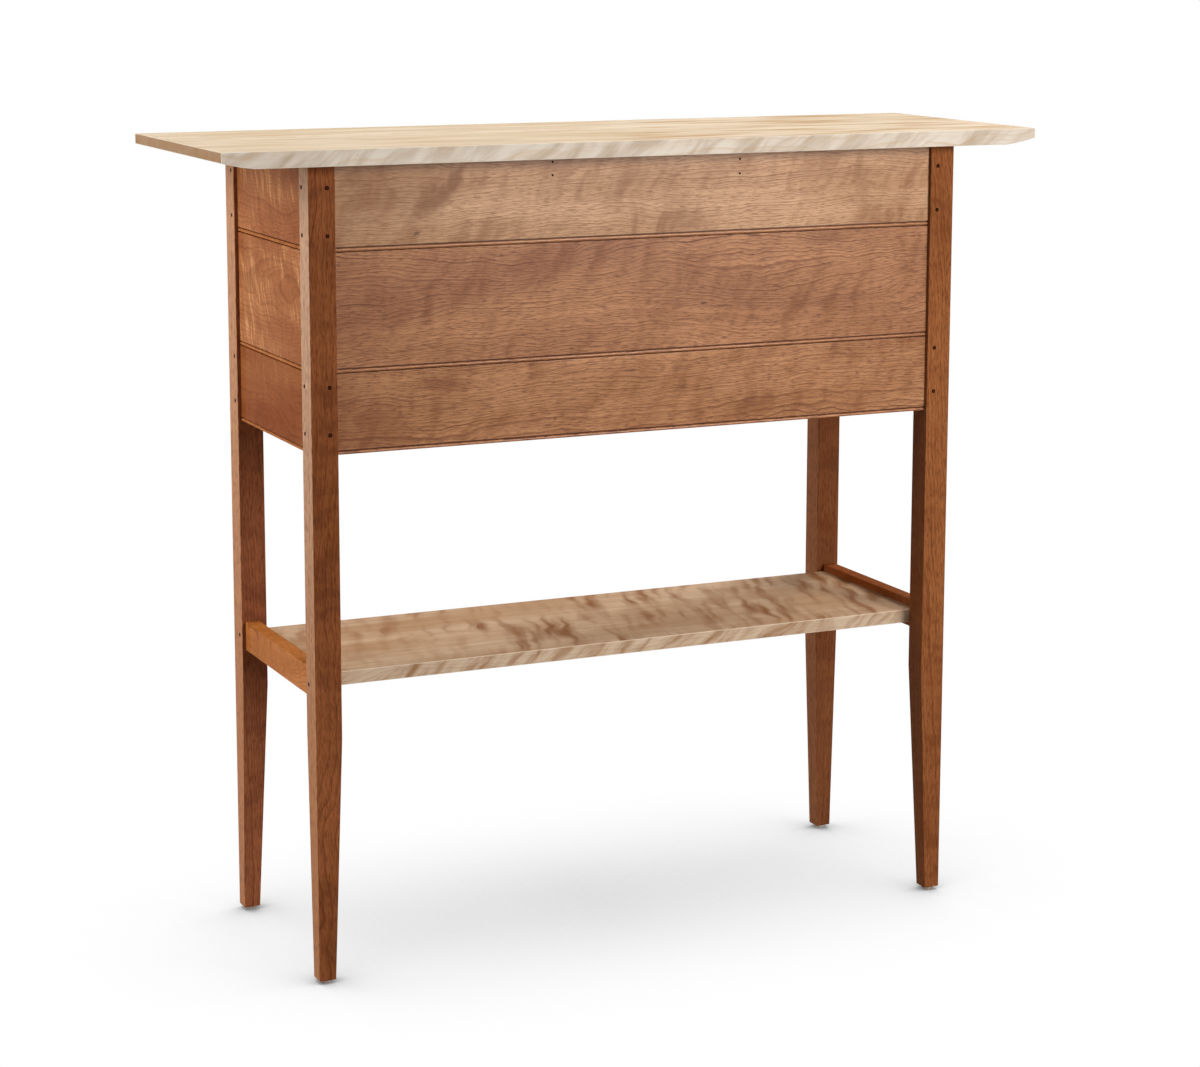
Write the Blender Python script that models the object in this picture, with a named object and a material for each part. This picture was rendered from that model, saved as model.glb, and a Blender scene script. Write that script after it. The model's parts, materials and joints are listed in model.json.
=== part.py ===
"""Tall, narrow sideboard: a panelled cherry case on four tapered legs, with a figured birch top and shelf.

Units are metres and +Z is up. The origin is on the floor under the middle of the piece. X runs along the
length, -Y is the panelled back, and +Y is the side with the three drawers.
"""
import math
from collections import namedtuple

import bmesh
import bpy
from mathutils import Matrix, Vector

# Clearances
SEAT = 0.0003
FIT = 0.0003
JOIN_LAP = 0.004
OVERCUT = 0.002

# Legs, and the case measured over their outer faces
CASE_LENGTH = 0.914
CASE_DEPTH = 0.335
LEG_SIZE = 0.035
LEG_LENGTH = 1.037
FOOT_SIZE = 0.0225
TAPER_DROP = 0.050
ARRIS = 0.0010
ARRIS_SEGMENTS = 2
ARRIS_ANGLE = 40.0

# Nail-on glides under the feet
GLIDE_DIAMETER = 0.0165
GLIDE_HEIGHT = 0.0045
GLIDE_CHAMFER = 0.0008
GLIDE_STEPS = 24

# Top board, with ends that thin out underneath in a soft bevel
TOP_THICKNESS = 0.021
TOP_END_THICKNESS = 0.013
TOP_OVERHANG_END = 0.115
TOP_OVERHANG_FACE = 0.0205
UNDERBEVEL_RUN = 0.046
UNDERBEVEL_POWER = 1.5
UNDERBEVEL_STEPS = 8

# Boards of the back and the two sides, with a bead on every lower edge
REVEAL = 0.005
BOARD_THICKNESS = 0.019
UPPER_BOARD_HEIGHT = 0.1065
MIDDLE_BOARD_HEIGHT = 0.1495
LOWER_BOARD_HEIGHT = 0.1015
JOINT_GAP = 0.001
BEAD_RADIUS = 0.0022
BEAD_STEPS = 8
QUIRK_WIDTH = 0.0013
QUIRK_UNDERCUT = 0.0006
FACE_ARRIS = 0.0008
TONGUE_THICKNESS = 0.006
TONGUE_LENGTH = 0.006

# Tenons in the legs
TENON_THICKNESS = 0.008
TENON_SHOULDER = 0.010
TENON_END_WALL = 0.001
STUB_LENGTH = 0.006

# Stretchers between the legs at each end, and the shelf housed in them
STRETCHER_HEIGHT = 0.0385
STRETCHER_THICKNESS = 0.019
STRETCHER_LIFT = 0.365
SHELF_THICKNESS = 0.018
SHELF_HOUSING = 0.005
SHELF_GAP = 0.0005

# Front frame round the drawers
RAIL_HEIGHT = 0.038
RAIL_THICKNESS = 0.019
DIVIDER_WIDTH = 0.019
DIVIDER_TENON = 0.008
BEARING = 0.018
RUNNER_HEIGHT = 0.024
GUIDE_HEIGHT = 0.022
STOP_THICKNESS = 0.008
STOP_WIDTH = 0.040
STOP_HEIGHT = 0.020

# Drawers
DRAWER_SIDE_CLEARANCE = 0.001
DRAWER_FRONT_GAP = 0.0015
DRAWER_SIDE_DROP = 0.004
DRAWER_FRONT_THICKNESS = 0.019
DRAWER_SIDE_THICKNESS = 0.012
DRAWER_BACK_THICKNESS = 0.012
DRAWER_BOTTOM_THICKNESS = 0.006
BOTTOM_LIFT = 0.012
GROOVE_DEPTH = 0.006
DOVETAIL_COUNT = 5
DOVETAIL_SHARE = 0.74
DOVETAIL_SLOPE = 1.0 / 7.0
DOVETAIL_LAP = 0.006

# Turned drawer knobs
KNOB_DIAMETER = 0.032
KNOB_PROJECTION = 0.0235
KNOB_NECK_DIAMETER = 0.015
KNOB_NECK_LENGTH = 0.008
KNOB_CROWN = 0.004
KNOB_TENON_DIAMETER = 0.010
KNOB_TENON_LENGTH = 0.013
KNOB_STEPS = 24
KNOB_ARC_STEPS = 6

# Sizes that follow from the driving ones
HALF_X = CASE_LENGTH / 2
HALF_Y = CASE_DEPTH / 2
LEG_BOTTOM = GLIDE_HEIGHT + SEAT
LEG_TOP = LEG_BOTTOM + LEG_LENGTH
TOP_LOW = LEG_TOP + SEAT
LOWER_JOINT = LEG_TOP - UPPER_BOARD_HEIGHT - MIDDLE_BOARD_HEIGHT - 2 * JOINT_GAP
CASE_BOTTOM = LOWER_JOINT - LOWER_BOARD_HEIGHT
LEG_INNER_X = HALF_X - LEG_SIZE
LEG_INNER_Y = HALF_Y - LEG_SIZE
TENON_LENGTH = LEG_SIZE - REVEAL - (BOARD_THICKNESS + TENON_THICKNESS) / 2 - TENON_END_WALL
STRETCHER_LOW = LEG_BOTTOM + STRETCHER_LIFT
WALL_INNER_X = HALF_X - REVEAL - BOARD_THICKNESS
WALL_INNER_Y = HALF_Y - REVEAL - BOARD_THICKNESS
FACE_Y = HALF_Y - REVEAL
RAIL_BACK = FACE_Y - RAIL_THICKNESS
OPENING_LOW = CASE_BOTTOM + RAIL_HEIGHT
OPENING_HIGH = LEG_TOP - RAIL_HEIGHT
OPENING_WIDTH = (2 * LEG_INNER_X - 2 * DIVIDER_WIDTH) / 3
BAY_PITCH = OPENING_WIDTH + DIVIDER_WIDTH
DIVIDER_X = BAY_PITCH / 2
DRAWER_REAR = -WALL_INNER_Y + STOP_THICKNESS + 2 * SEAT

CORNERS = {
    "back_left": (-1, -1),
    "back_right": (1, -1),
    "front_left": (-1, 1),
    "front_right": (1, 1),
}
DRAWERS = {"drawer_left": -1, "drawer_middle": 0, "drawer_right": 1}

Finish = namedtuple("Finish", "colour roughness")
CHERRY = Finish((0.33, 0.14, 0.060), 0.42)
CHERRY_DARK = Finish((0.22, 0.085, 0.036), 0.42)
BIRCH = Finish((0.62, 0.48, 0.32), 0.38)
MAPLE = Finish((0.70, 0.56, 0.38), 0.50)
GLIDE_PLASTIC = Finish((0.24, 0.21, 0.19), 0.55)

Box = namedtuple("Box", "low high")


def clear_scene():
    """Remove every object of the starting scene."""
    for old in list(bpy.data.objects):
        bpy.data.objects.remove(old, do_unlink=True)


def make_material(name, finish):
    """Return a Principled material of one colour and roughness, not metallic."""
    material = bpy.data.materials.new(name)
    material.use_nodes = True
    shader = material.node_tree.nodes["Principled BSDF"]
    shader.inputs["Base Color"].default_value = (*finish.colour, 1.0)
    shader.inputs["Roughness"].default_value = finish.roughness
    shader.inputs["Metallic"].default_value = 0.0
    return material


def make_object(name, shape, origin):
    """Turn a bmesh in world coordinates into an object whose origin is at the given point."""
    place = Vector(origin)
    bmesh.ops.recalc_face_normals(shape, faces=shape.faces)
    bmesh.ops.translate(shape, verts=shape.verts, vec=-place)
    mesh = bpy.data.meshes.new(name)
    shape.to_mesh(mesh)
    shape.free()
    made = bpy.data.objects.new(name, mesh)
    made.location = place
    bpy.context.scene.collection.objects.link(made)
    return made


def make_piece(name, shape, finish, origin=(0.0, 0.0, 0.0), parent=None):
    """Make one named piece of the sideboard, with its own material."""
    piece = make_object(name, shape, origin)
    piece.data.materials.append(make_material(name, finish))
    if parent is not None:
        piece.parent = parent
        piece.location = Vector(origin) - parent.location
    return piece


def make_tool(name, shape):
    """Make a shape that only cuts or joins, and isn't a piece itself."""
    tool = make_object(name, shape, (0.0, 0.0, 0.0))
    tool.hide_render = True
    tool.display_type = "WIRE"
    return tool


def combine(piece, shape, operation):
    """Cut a shape out of a piece, or fuse it to the piece, with an exact Boolean."""
    number = len(piece.modifiers) + 1
    step = piece.modifiers.new(f"{operation.lower()}_{number}", "BOOLEAN")
    step.operation = operation
    step.solver = "EXACT"
    step.object = make_tool(f"{piece.name}_tool_{number}", shape)


def ease_edges(piece, width):
    """Round every sharp edge of a piece by a small radius."""
    step = piece.modifiers.new("eased_edges", "BEVEL")
    step.width = width
    step.segments = ARRIS_SEGMENTS
    step.limit_method = "ANGLE"
    step.angle_limit = math.radians(ARRIS_ANGLE)


def add_ring_solid(shape, rings):
    """Add a closed solid that joins rings of equally many points, with a cap on its first and last ring."""
    loops = [[shape.verts.new(point) for point in ring] for ring in rings]
    count = len(loops[0])
    for lower, upper in zip(loops, loops[1:]):
        for index in range(count):
            after = (index + 1) % count
            shape.faces.new((lower[index], lower[after], upper[after], upper[index]))
    shape.faces.new(loops[0])
    shape.faces.new(loops[-1])


def add_prism(shape, outline, axis, start, end):
    """Add an outline carried along one axis; the outline gives the other two coordinates in order."""
    rings = []
    for along in (start, end):
        ring = []
        for first, second in outline:
            point = [first, second]
            point.insert("xyz".index(axis), along)
            ring.append(point)
        rings.append(ring)
    add_ring_solid(shape, rings)


def add_box(shape, box):
    """Add a box given by two opposite corners."""
    (x0, y0, z0), (x1, y1, z1) = box
    add_prism(shape, [(x0, y0), (x1, y0), (x1, y1), (x0, y1)], "z", z0, z1)


def boxes_shape(boxes):
    """Return a bmesh that holds the given boxes."""
    shape = bmesh.new()
    for box in boxes:
        add_box(shape, box)
    return shape


def grown(box, margin):
    """Return a box enlarged by a margin on every side."""
    low = [min(pair) - margin for pair in zip(*box)]
    high = [max(pair) + margin for pair in zip(*box)]
    return Box(low, high)


def turned_shape(profile, steps):
    """Return a solid turned about Z from a profile of (radius, height) points that starts and ends on Z."""
    shape = bmesh.new()
    points = [shape.verts.new((radius, 0.0, height)) for radius, height in profile]
    edges = [shape.edges.new(pair) for pair in zip(points, points[1:])]
    bmesh.ops.spin(shape, geom=points + edges, axis=(0, 0, 1), cent=(0, 0, 0), angle=math.tau, steps=steps)
    bmesh.ops.remove_doubles(shape, verts=shape.verts, dist=1e-6)
    return shape


def smooth_round(piece):
    """Shade a turned piece smooth, with its sharp edges kept."""
    piece.data.shade_smooth()
    piece.data.set_sharp_from_angle(angle=math.radians(ARRIS_ANGLE))


def tenon_box(run, corner, thickness, low, high, length):
    """Return the block of a tenon that enters one leg.

    A member that runs along X or Y lies a reveal behind the outer face of the leg, and its tenon is in
    the middle of its thickness. The block starts a lap inside the member.
    """
    side_x, side_y = corner
    half_across = HALF_Y if run == "x" else HALF_X
    middle = half_across - REVEAL - thickness / 2
    across = (middle - TENON_THICKNESS / 2, middle + TENON_THICKNESS / 2)
    inner = LEG_INNER_X if run == "x" else LEG_INNER_Y
    along = (inner - SEAT - JOIN_LAP, inner + length)
    near, far = zip(along, across) if run == "x" else zip(across, along)
    return Box((side_x * near[0], side_y * near[1], low), (side_x * far[0], side_y * far[1], high))


def add_tenons(piece, run, side, thickness, low, high, length, mortises):
    """Fuse a tenon to both ends of a member, and note the mortises that its two legs need."""
    tenons = []
    for end in (-1, 1):
        corner = (end, side) if run == "x" else (side, end)
        tenon = tenon_box(run, corner, thickness, low + TENON_SHOULDER, high - TENON_SHOULDER, length)
        tenons.append(tenon)
        mortises[corner].append(grown(tenon, FIT))
    combine(piece, boxes_shape(tenons), "UNION")


def eased_arris(height):
    """Return the quarter round, in two steps, from a board's face to its upper edge."""
    bend = FACE_ARRIS * (1 - math.sqrt(0.5))
    return [(0.0, height - FACE_ARRIS), (bend, height - bend), (FACE_ARRIS, height)]


def beaded_outline(height, thickness, has_tongue, has_groove):
    """Return a board's section as (depth behind its face, height above its lower edge) points."""
    quirk_low = 2 * BEAD_RADIUS
    quirk_high = quirk_low + QUIRK_WIDTH
    quirk_depth = BEAD_RADIUS + QUIRK_UNDERCUT
    points = []
    for step in range(BEAD_STEPS + 1):
        angle = math.pi * (step / BEAD_STEPS - 0.5)
        points.append((BEAD_RADIUS * (1 - math.cos(angle)), BEAD_RADIUS * (1 + math.sin(angle))))
    points += [(quirk_depth, quirk_low), (quirk_depth, quirk_high), (0.0, quirk_high)]
    points += eased_arris(height)
    tongue_near = (thickness - TONGUE_THICKNESS) / 2
    tongue_far = (thickness + TONGUE_THICKNESS) / 2
    if has_tongue:
        tip = height + JOINT_GAP + TONGUE_LENGTH
        points += [(tongue_near, height), (tongue_near, tip), (tongue_far, tip), (tongue_far, height)]
    points += [(thickness, height), (thickness, 0.0)]
    if has_groove:
        roof = TONGUE_LENGTH + FIT
        near = tongue_near - FIT
        far = tongue_far + FIT
        points += [(far, 0.0), (far, roof), (near, roof), (near, 0.0)]
    return points


def plain_outline(height, thickness):
    """Return the section of a board with no bead in the same form as a beaded one."""
    lower = [(depth, height - above) for depth, above in reversed(eased_arris(height))]
    return lower + eased_arris(height) + [(thickness, height), (thickness, 0.0)]


def make_member(name, run, side, outline, low):
    """Make a board or rail that fills the space between two legs, a reveal behind their outer faces."""
    face = side * ((HALF_Y if run == "x" else HALF_X) - REVEAL)
    reach = (LEG_INNER_X if run == "x" else LEG_INNER_Y) - SEAT
    section = [(face - side * depth, low + height) for depth, height in outline]
    shape = bmesh.new()
    add_prism(shape, section, run, -reach, reach)
    origin = (0.0, face, low) if run == "x" else (face, 0.0, low)
    return make_piece(name, shape, CHERRY, origin)


def make_wall(name, run, side, mortises):
    """Make the three tongued and grooved boards of one wall of the case.

    The upper and lower boards are tenoned into the legs; the middle one floats on short stubs.
    """
    courses = (
        ("lower", CASE_BOTTOM, LOWER_BOARD_HEIGHT, True, False, TENON_LENGTH),
        ("middle", LOWER_JOINT + JOINT_GAP, MIDDLE_BOARD_HEIGHT, True, True, STUB_LENGTH),
        ("upper", LEG_TOP - UPPER_BOARD_HEIGHT, UPPER_BOARD_HEIGHT, False, True, TENON_LENGTH),
    )
    for course, low, height, has_tongue, has_groove, tenon in courses:
        outline = beaded_outline(height, BOARD_THICKNESS, has_tongue, has_groove)
        board = make_member(f"{name}_board_{course}", run, side, outline, low)
        add_tenons(board, run, side, BOARD_THICKNESS, low, low + height, tenon, mortises)


def make_leg(name, corner, mortises):
    """Make one leg, square above and tapered on its two inner faces below, with its mortises."""
    side_x, side_y = corner
    taper_high = STRETCHER_LOW - TAPER_DROP
    rings = []
    for size, height in ((FOOT_SIZE, LEG_BOTTOM), (LEG_SIZE, taper_high), (LEG_SIZE, LEG_TOP)):
        outer = (side_x * HALF_X, side_y * HALF_Y)
        inner = (side_x * (HALF_X - size), side_y * (HALF_Y - size))
        plan = (outer, (inner[0], outer[1]), inner, (outer[0], inner[1]))
        rings.append([(x, y, height) for x, y in plan])
    shape = bmesh.new()
    add_ring_solid(shape, rings)
    leg = make_piece(f"leg_{name}", shape, CHERRY_DARK, rings[0][0])
    ease_edges(leg, ARRIS)
    combine(leg, boxes_shape(mortises[corner]), "DIFFERENCE")


def make_glide(name, corner):
    """Make the round plastic glide in the middle of one foot."""
    radius = GLIDE_DIAMETER / 2
    profile = (
        (0.0, GLIDE_HEIGHT),
        (radius, GLIDE_HEIGHT),
        (radius, GLIDE_CHAMFER),
        (radius - GLIDE_CHAMFER, 0.0),
        (0.0, 0.0),
    )
    centre = Vector((corner[0] * (HALF_X - FOOT_SIZE / 2), corner[1] * (HALF_Y - FOOT_SIZE / 2), 0.0))
    shape = turned_shape(profile, GLIDE_STEPS)
    bmesh.ops.translate(shape, verts=shape.verts, vec=centre)
    smooth_round(make_piece(f"glide_{name}", shape, GLIDE_PLASTIC, centre))


def make_top():
    """Make the top board. Near each end its underside rises by a power of the way to the end."""
    half_length = HALF_X + TOP_OVERHANG_END
    half_depth = HALF_Y + TOP_OVERHANG_FACE
    rise = TOP_THICKNESS - TOP_END_THICKNESS
    underside = []
    for step in range(UNDERBEVEL_STEPS + 1):
        share = step / UNDERBEVEL_STEPS
        x = half_length - UNDERBEVEL_RUN * (1 - share)
        underside.append((x, TOP_LOW + rise * share**UNDERBEVEL_POWER))
    right = underside + [(half_length, TOP_LOW + TOP_THICKNESS)]
    outline = right + [(-x, z) for x, z in reversed(right)]
    shape = bmesh.new()
    add_prism(shape, outline, "y", -half_depth, half_depth)
    ease_edges(make_piece("top", shape, BIRCH, (0.0, 0.0, TOP_LOW)), ARRIS)


def make_stretchers(mortises):
    """Make the two end stretchers, tenoned into the legs, and the shelf that is housed in them."""
    low = STRETCHER_LOW
    high = STRETCHER_LOW + STRETCHER_HEIGHT
    middle = (low + high) / 2
    shelf_x = HALF_X - REVEAL - STRETCHER_THICKNESS + SHELF_HOUSING
    shelf_y = LEG_INNER_Y - SHELF_GAP
    shelf_box = Box(
        (-shelf_x, -shelf_y, middle - SHELF_THICKNESS / 2),
        (shelf_x, shelf_y, middle + SHELF_THICKNESS / 2),
    )
    for name, side in (("left", -1), ("right", 1)):
        outline = plain_outline(STRETCHER_HEIGHT, STRETCHER_THICKNESS)
        stretcher = make_member(f"stretcher_{name}", "y", side, outline, low)
        add_tenons(stretcher, "y", side, STRETCHER_THICKNESS, low, high, TENON_LENGTH, mortises)
        combine(stretcher, boxes_shape([grown(shelf_box, FIT)]), "DIFFERENCE")
    shelf = make_piece("shelf", boxes_shape([shelf_box]), BIRCH, (0.0, 0.0, middle))
    ease_edges(shelf, ARRIS)


def make_front_frame(mortises):
    """Make the two rails and two dividers round the drawers."""
    middle = FACE_Y - RAIL_THICKNESS / 2
    half_tenon = TENON_THICKNESS / 2
    tenons = {"bottom": [], "top": []}
    for name, side in (("left", -1), ("right", 1)):
        x = side * DIVIDER_X
        body = Box(
            (x - DIVIDER_WIDTH / 2, RAIL_BACK, OPENING_LOW + SEAT),
            (x + DIVIDER_WIDTH / 2, FACE_Y, OPENING_HIGH - SEAT),
        )
        divider = make_piece(f"divider_{name}", boxes_shape([body]), CHERRY, (x, middle, OPENING_LOW))
        ends = (
            ("bottom", OPENING_LOW - DIVIDER_TENON, OPENING_LOW + JOIN_LAP),
            ("top", OPENING_HIGH - JOIN_LAP, OPENING_HIGH + DIVIDER_TENON),
        )
        blocks = []
        for rail, low, high in ends:
            block = Box(
                (x - half_tenon, middle - half_tenon, low),
                (x + half_tenon, middle + half_tenon, high),
            )
            blocks.append(block)
            tenons[rail].append(grown(block, FIT))
        combine(divider, boxes_shape(blocks), "UNION")
    rails = (
        ("bottom", CASE_BOTTOM, beaded_outline(RAIL_HEIGHT, RAIL_THICKNESS, False, False)),
        ("top", OPENING_HIGH, plain_outline(RAIL_HEIGHT, RAIL_THICKNESS)),
    )
    for name, low, outline in rails:
        rail = make_member(f"front_rail_{name}", "x", 1, outline, low)
        add_tenons(rail, "x", 1, RAIL_THICKNESS, low, low + RAIL_HEIGHT, TENON_LENGTH, mortises)
        combine(rail, boxes_shape(tenons[name]), "DIFFERENCE")


def bearer_outline(side, is_end):
    """Return the plan of a runner or kicker from the rail to the back, notched round an end's legs."""
    rear = -WALL_INNER_Y + SEAT
    front = RAIL_BACK - SEAT
    if not is_end:
        near = side * DIVIDER_X - DIVIDER_WIDTH / 2 - BEARING
        far = side * DIVIDER_X + DIVIDER_WIDTH / 2 + BEARING
        return [(near, rear), (far, rear), (far, front), (near, front)]
    inner = side * (LEG_INNER_X - BEARING)
    leg_face = side * (LEG_INNER_X - SEAT)
    wall = side * (WALL_INNER_X - SEAT)
    notch = LEG_INNER_Y - SEAT
    return [
        (inner, rear),
        (leg_face, rear),
        (leg_face, -notch),
        (wall, -notch),
        (wall, notch),
        (leg_face, notch),
        (leg_face, front),
        (inner, front),
    ]


def make_bearers():
    """Make the runners under the drawers, the guides on them and the kickers above."""
    rear = -WALL_INNER_Y + SEAT
    front = RAIL_BACK - SEAT
    for name, side, is_end in (
        ("end_left", -1, True),
        ("left", -1, False),
        ("right", 1, False),
        ("end_right", 1, True),
    ):
        plan = bearer_outline(side, is_end)
        shape = bmesh.new()
        add_prism(shape, plan, "z", OPENING_LOW - RUNNER_HEIGHT, OPENING_LOW)
        make_piece(f"runner_{name}", shape, MAPLE, (*plan[0], OPENING_LOW))
        shape = bmesh.new()
        add_prism(shape, plan, "z", OPENING_HIGH, LEG_TOP)
        make_piece(f"kicker_{name}", shape, MAPLE, (*plan[0], OPENING_HIGH))
        if is_end:
            reach = LEG_INNER_Y - SEAT
            span_x = (side * LEG_INNER_X, side * (WALL_INNER_X - SEAT))
            span_y = (-reach, reach)
        else:
            span_x = (side * DIVIDER_X - DIVIDER_WIDTH / 2, side * DIVIDER_X + DIVIDER_WIDTH / 2)
            span_y = (rear, front)
        low = OPENING_LOW + SEAT
        guide = Box((span_x[0], span_y[0], low), (span_x[1], span_y[1], low + GUIDE_HEIGHT))
        make_piece(f"guide_{name}", boxes_shape([guide]), MAPLE, guide.low)


def tail_points(root, tip, low, high):
    """Return (middle, half height at the root, half height at the tip) of each dovetail up a drawer side."""
    pitch = (high - low) / DOVETAIL_COUNT
    half_tip = pitch * DOVETAIL_SHARE / 2
    half_root = half_tip - abs(tip - root) * DOVETAIL_SLOPE
    return [(low + pitch * (number + 0.5), half_root, half_tip) for number in range(DOVETAIL_COUNT)]


def side_outline(front_root, front_tip, rear_root, rear_tip, low, high, back_low):
    """Return the (y, z) outline of a drawer side with dovetails at both ends."""
    points = [(front_root, low)]
    for middle, half_root, half_tip in tail_points(front_root, front_tip, low, high):
        points += [
            (front_root, middle - half_root),
            (front_tip, middle - half_tip),
            (front_tip, middle + half_tip),
            (front_root, middle + half_root),
        ]
    points += [(front_root, high), (rear_root, high)]
    for middle, half_root, half_tip in reversed(tail_points(rear_root, rear_tip, back_low, high)):
        points += [
            (rear_root, middle + half_root),
            (rear_tip, middle + half_tip),
            (rear_tip, middle - half_tip),
            (rear_root, middle - half_root),
        ]
    points += [(rear_root, back_low - SEAT), (rear_tip, back_low - SEAT), (rear_tip, low)]
    return points


def add_sockets(shape, root, tip, beyond, low, high, near_x, far_x):
    """Add the shapes that cut sockets for one row of dovetails, larger than the tails by the fit.

    Each socket starts a little before the root of its tail and ends the given way beyond its tip.
    """
    outward = 1.0 if tip > root else -1.0
    mouth = root - outward * OVERCUT
    end = tip + outward * beyond
    for middle, half_root, half_tip in tail_points(root, tip, low, high):
        half_mouth = half_root + FIT
        half_end = half_tip + FIT
        outline = [
            (mouth, middle - half_mouth),
            (root, middle - half_mouth),
            (end, middle - half_end),
            (end, middle + half_end),
            (root, middle + half_mouth),
            (mouth, middle + half_mouth),
        ]
        add_prism(shape, outline, "x", near_x, far_x)


def knob_profile():
    """Return the knob's (radius, height) points from the crown down to the end of its tenon.

    The crown is a shallow arc, the rim a half round, the neck straight.
    """
    radius = KNOB_DIAMETER / 2
    rim = (KNOB_PROJECTION - KNOB_NECK_LENGTH - KNOB_CROWN) / 2
    rim_middle = KNOB_NECK_LENGTH + rim
    points = []
    for step in range(KNOB_ARC_STEPS + 1):
        share = step / KNOB_ARC_STEPS
        points.append(((radius - rim) * share, KNOB_PROJECTION - KNOB_CROWN * share**2))
    for step in range(1, KNOB_ARC_STEPS + 1):
        angle = math.pi * (0.5 - step / KNOB_ARC_STEPS)
        points.append((radius - rim + rim * math.cos(angle), rim_middle + rim * math.sin(angle)))
    points += [
        (KNOB_NECK_DIAMETER / 2, KNOB_NECK_LENGTH),
        (KNOB_NECK_DIAMETER / 2, SEAT),
        (KNOB_TENON_DIAMETER / 2, SEAT),
        (KNOB_TENON_DIAMETER / 2, -KNOB_TENON_LENGTH),
        (0.0, -KNOB_TENON_LENGTH),
    ]
    return points


def turn_to_front(shape, centre):
    """Turn a shape made about Z so that it points along +Y, and move it to its centre."""
    bmesh.ops.rotate(shape, verts=shape.verts, cent=(0, 0, 0), matrix=Matrix.Rotation(-math.pi / 2, 3, "X"))
    bmesh.ops.translate(shape, verts=shape.verts, vec=centre)


def make_drawer(name, bay):
    """Make one drawer: front, two sides, back, bottom and knob, carried by an empty on its slide axis."""
    centre_x = bay * BAY_PITCH
    half_width = OPENING_WIDTH / 2 - DRAWER_SIDE_CLEARANCE
    inner_width = half_width - DRAWER_SIDE_THICKNESS
    front_low = OPENING_LOW + DRAWER_FRONT_GAP
    front_high = OPENING_HIGH - DRAWER_FRONT_GAP
    side_low = OPENING_LOW + SEAT
    side_high = front_high - DRAWER_SIDE_DROP
    front_inner = FACE_Y - DRAWER_FRONT_THICKNESS
    front_tip = FACE_Y - DOVETAIL_LAP
    back_inner = DRAWER_REAR + DRAWER_BACK_THICKNESS
    bottom_low = side_low + BOTTOM_LIFT
    bottom_high = bottom_low + DRAWER_BOTTOM_THICKNESS
    back_low = bottom_high + SEAT
    knob_centre = Vector((centre_x, FACE_Y, (front_low + front_high) / 2))

    carrier = bpy.data.objects.new(f"{name}_slide", None)
    carrier.location = (centre_x, FACE_Y, side_low)
    bpy.context.scene.collection.objects.link(carrier)

    groove_x = inner_width + GROOVE_DEPTH
    groove = Box(
        (centre_x - groove_x, DRAWER_REAR - OVERCUT, bottom_low),
        (centre_x + groove_x, front_inner + GROOVE_DEPTH, bottom_high),
    )

    left = centre_x - half_width
    right = centre_x + half_width
    front_box = Box((left, front_inner, front_low), (right, FACE_Y, front_high))
    front = make_piece(f"{name}_front", boxes_shape([front_box]), CHERRY, knob_centre, carrier)
    ease_edges(front, ARRIS)
    back_box = Box((left, DRAWER_REAR, back_low), (right, back_inner, side_high))
    back = make_piece(f"{name}_back", boxes_shape([back_box]), MAPLE, back_box.low, carrier)

    front_sockets = bmesh.new()
    back_sockets = bmesh.new()
    for hand, side in (("left", -1), ("right", 1)):
        near_x = centre_x + side * (inner_width - FIT)
        far_x = centre_x + side * (half_width + OVERCUT)
        add_sockets(front_sockets, front_inner, front_tip, FIT, side_low, side_high, near_x, far_x)
        add_sockets(back_sockets, back_inner, DRAWER_REAR, OVERCUT, back_low, side_high, near_x, far_x)
        outline = side_outline(
            front_inner - SEAT, front_tip, back_inner + SEAT, DRAWER_REAR, side_low, side_high, back_low
        )
        shape = bmesh.new()
        add_prism(shape, outline, "x", centre_x + side * inner_width, centre_x + side * half_width)
        origin = (centre_x + side * half_width, front_inner, side_low)
        panel = make_piece(f"{name}_side_{hand}", shape, MAPLE, origin, carrier)
        combine(panel, boxes_shape([grown(groove, FIT)]), "DIFFERENCE")
    combine(front, front_sockets, "DIFFERENCE")
    combine(front, boxes_shape([grown(groove, FIT)]), "DIFFERENCE")
    combine(back, back_sockets, "DIFFERENCE")

    bottom = Box((groove.low[0], DRAWER_REAR, bottom_low), groove.high)
    make_piece(f"{name}_bottom", boxes_shape([bottom]), MAPLE, bottom.low, carrier)

    radius = KNOB_TENON_DIAMETER / 2 + FIT
    depth = KNOB_TENON_LENGTH + FIT
    hole = turned_shape([(0.0, OVERCUT), (radius, OVERCUT), (radius, -depth), (0.0, -depth)], KNOB_STEPS)
    turn_to_front(hole, knob_centre)
    combine(front, hole, "DIFFERENCE")
    knob = turned_shape(knob_profile(), KNOB_STEPS)
    turn_to_front(knob, knob_centre)
    smooth_round(make_piece(f"{name}_knob", knob, CHERRY_DARK, knob_centre, carrier))


def make_stop(name, bay):
    """Make the block on the back board that stops one drawer flush with the rails."""
    centre_x = bay * BAY_PITCH
    middle = (OPENING_LOW + OPENING_HIGH) / 2
    block = Box(
        (centre_x - STOP_WIDTH / 2, -WALL_INNER_Y + SEAT, middle - STOP_HEIGHT / 2),
        (centre_x + STOP_WIDTH / 2, DRAWER_REAR - SEAT, middle + STOP_HEIGHT / 2),
    )
    make_piece(f"{name}_stop", boxes_shape([block]), MAPLE, block.low)


def main():
    """Build the sideboard: members first, because their tenons set the mortises of the legs."""
    clear_scene()
    mortises = {corner: [] for corner in CORNERS.values()}
    make_wall("back", "x", -1, mortises)
    make_wall("left", "y", -1, mortises)
    make_wall("right", "y", 1, mortises)
    make_stretchers(mortises)
    make_front_frame(mortises)
    for name, corner in CORNERS.items():
        make_leg(name, corner, mortises)
        make_glide(name, corner)
    make_top()
    make_bearers()
    for name, bay in DRAWERS.items():
        make_drawer(name, bay)
        make_stop(name, bay)


main()
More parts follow.
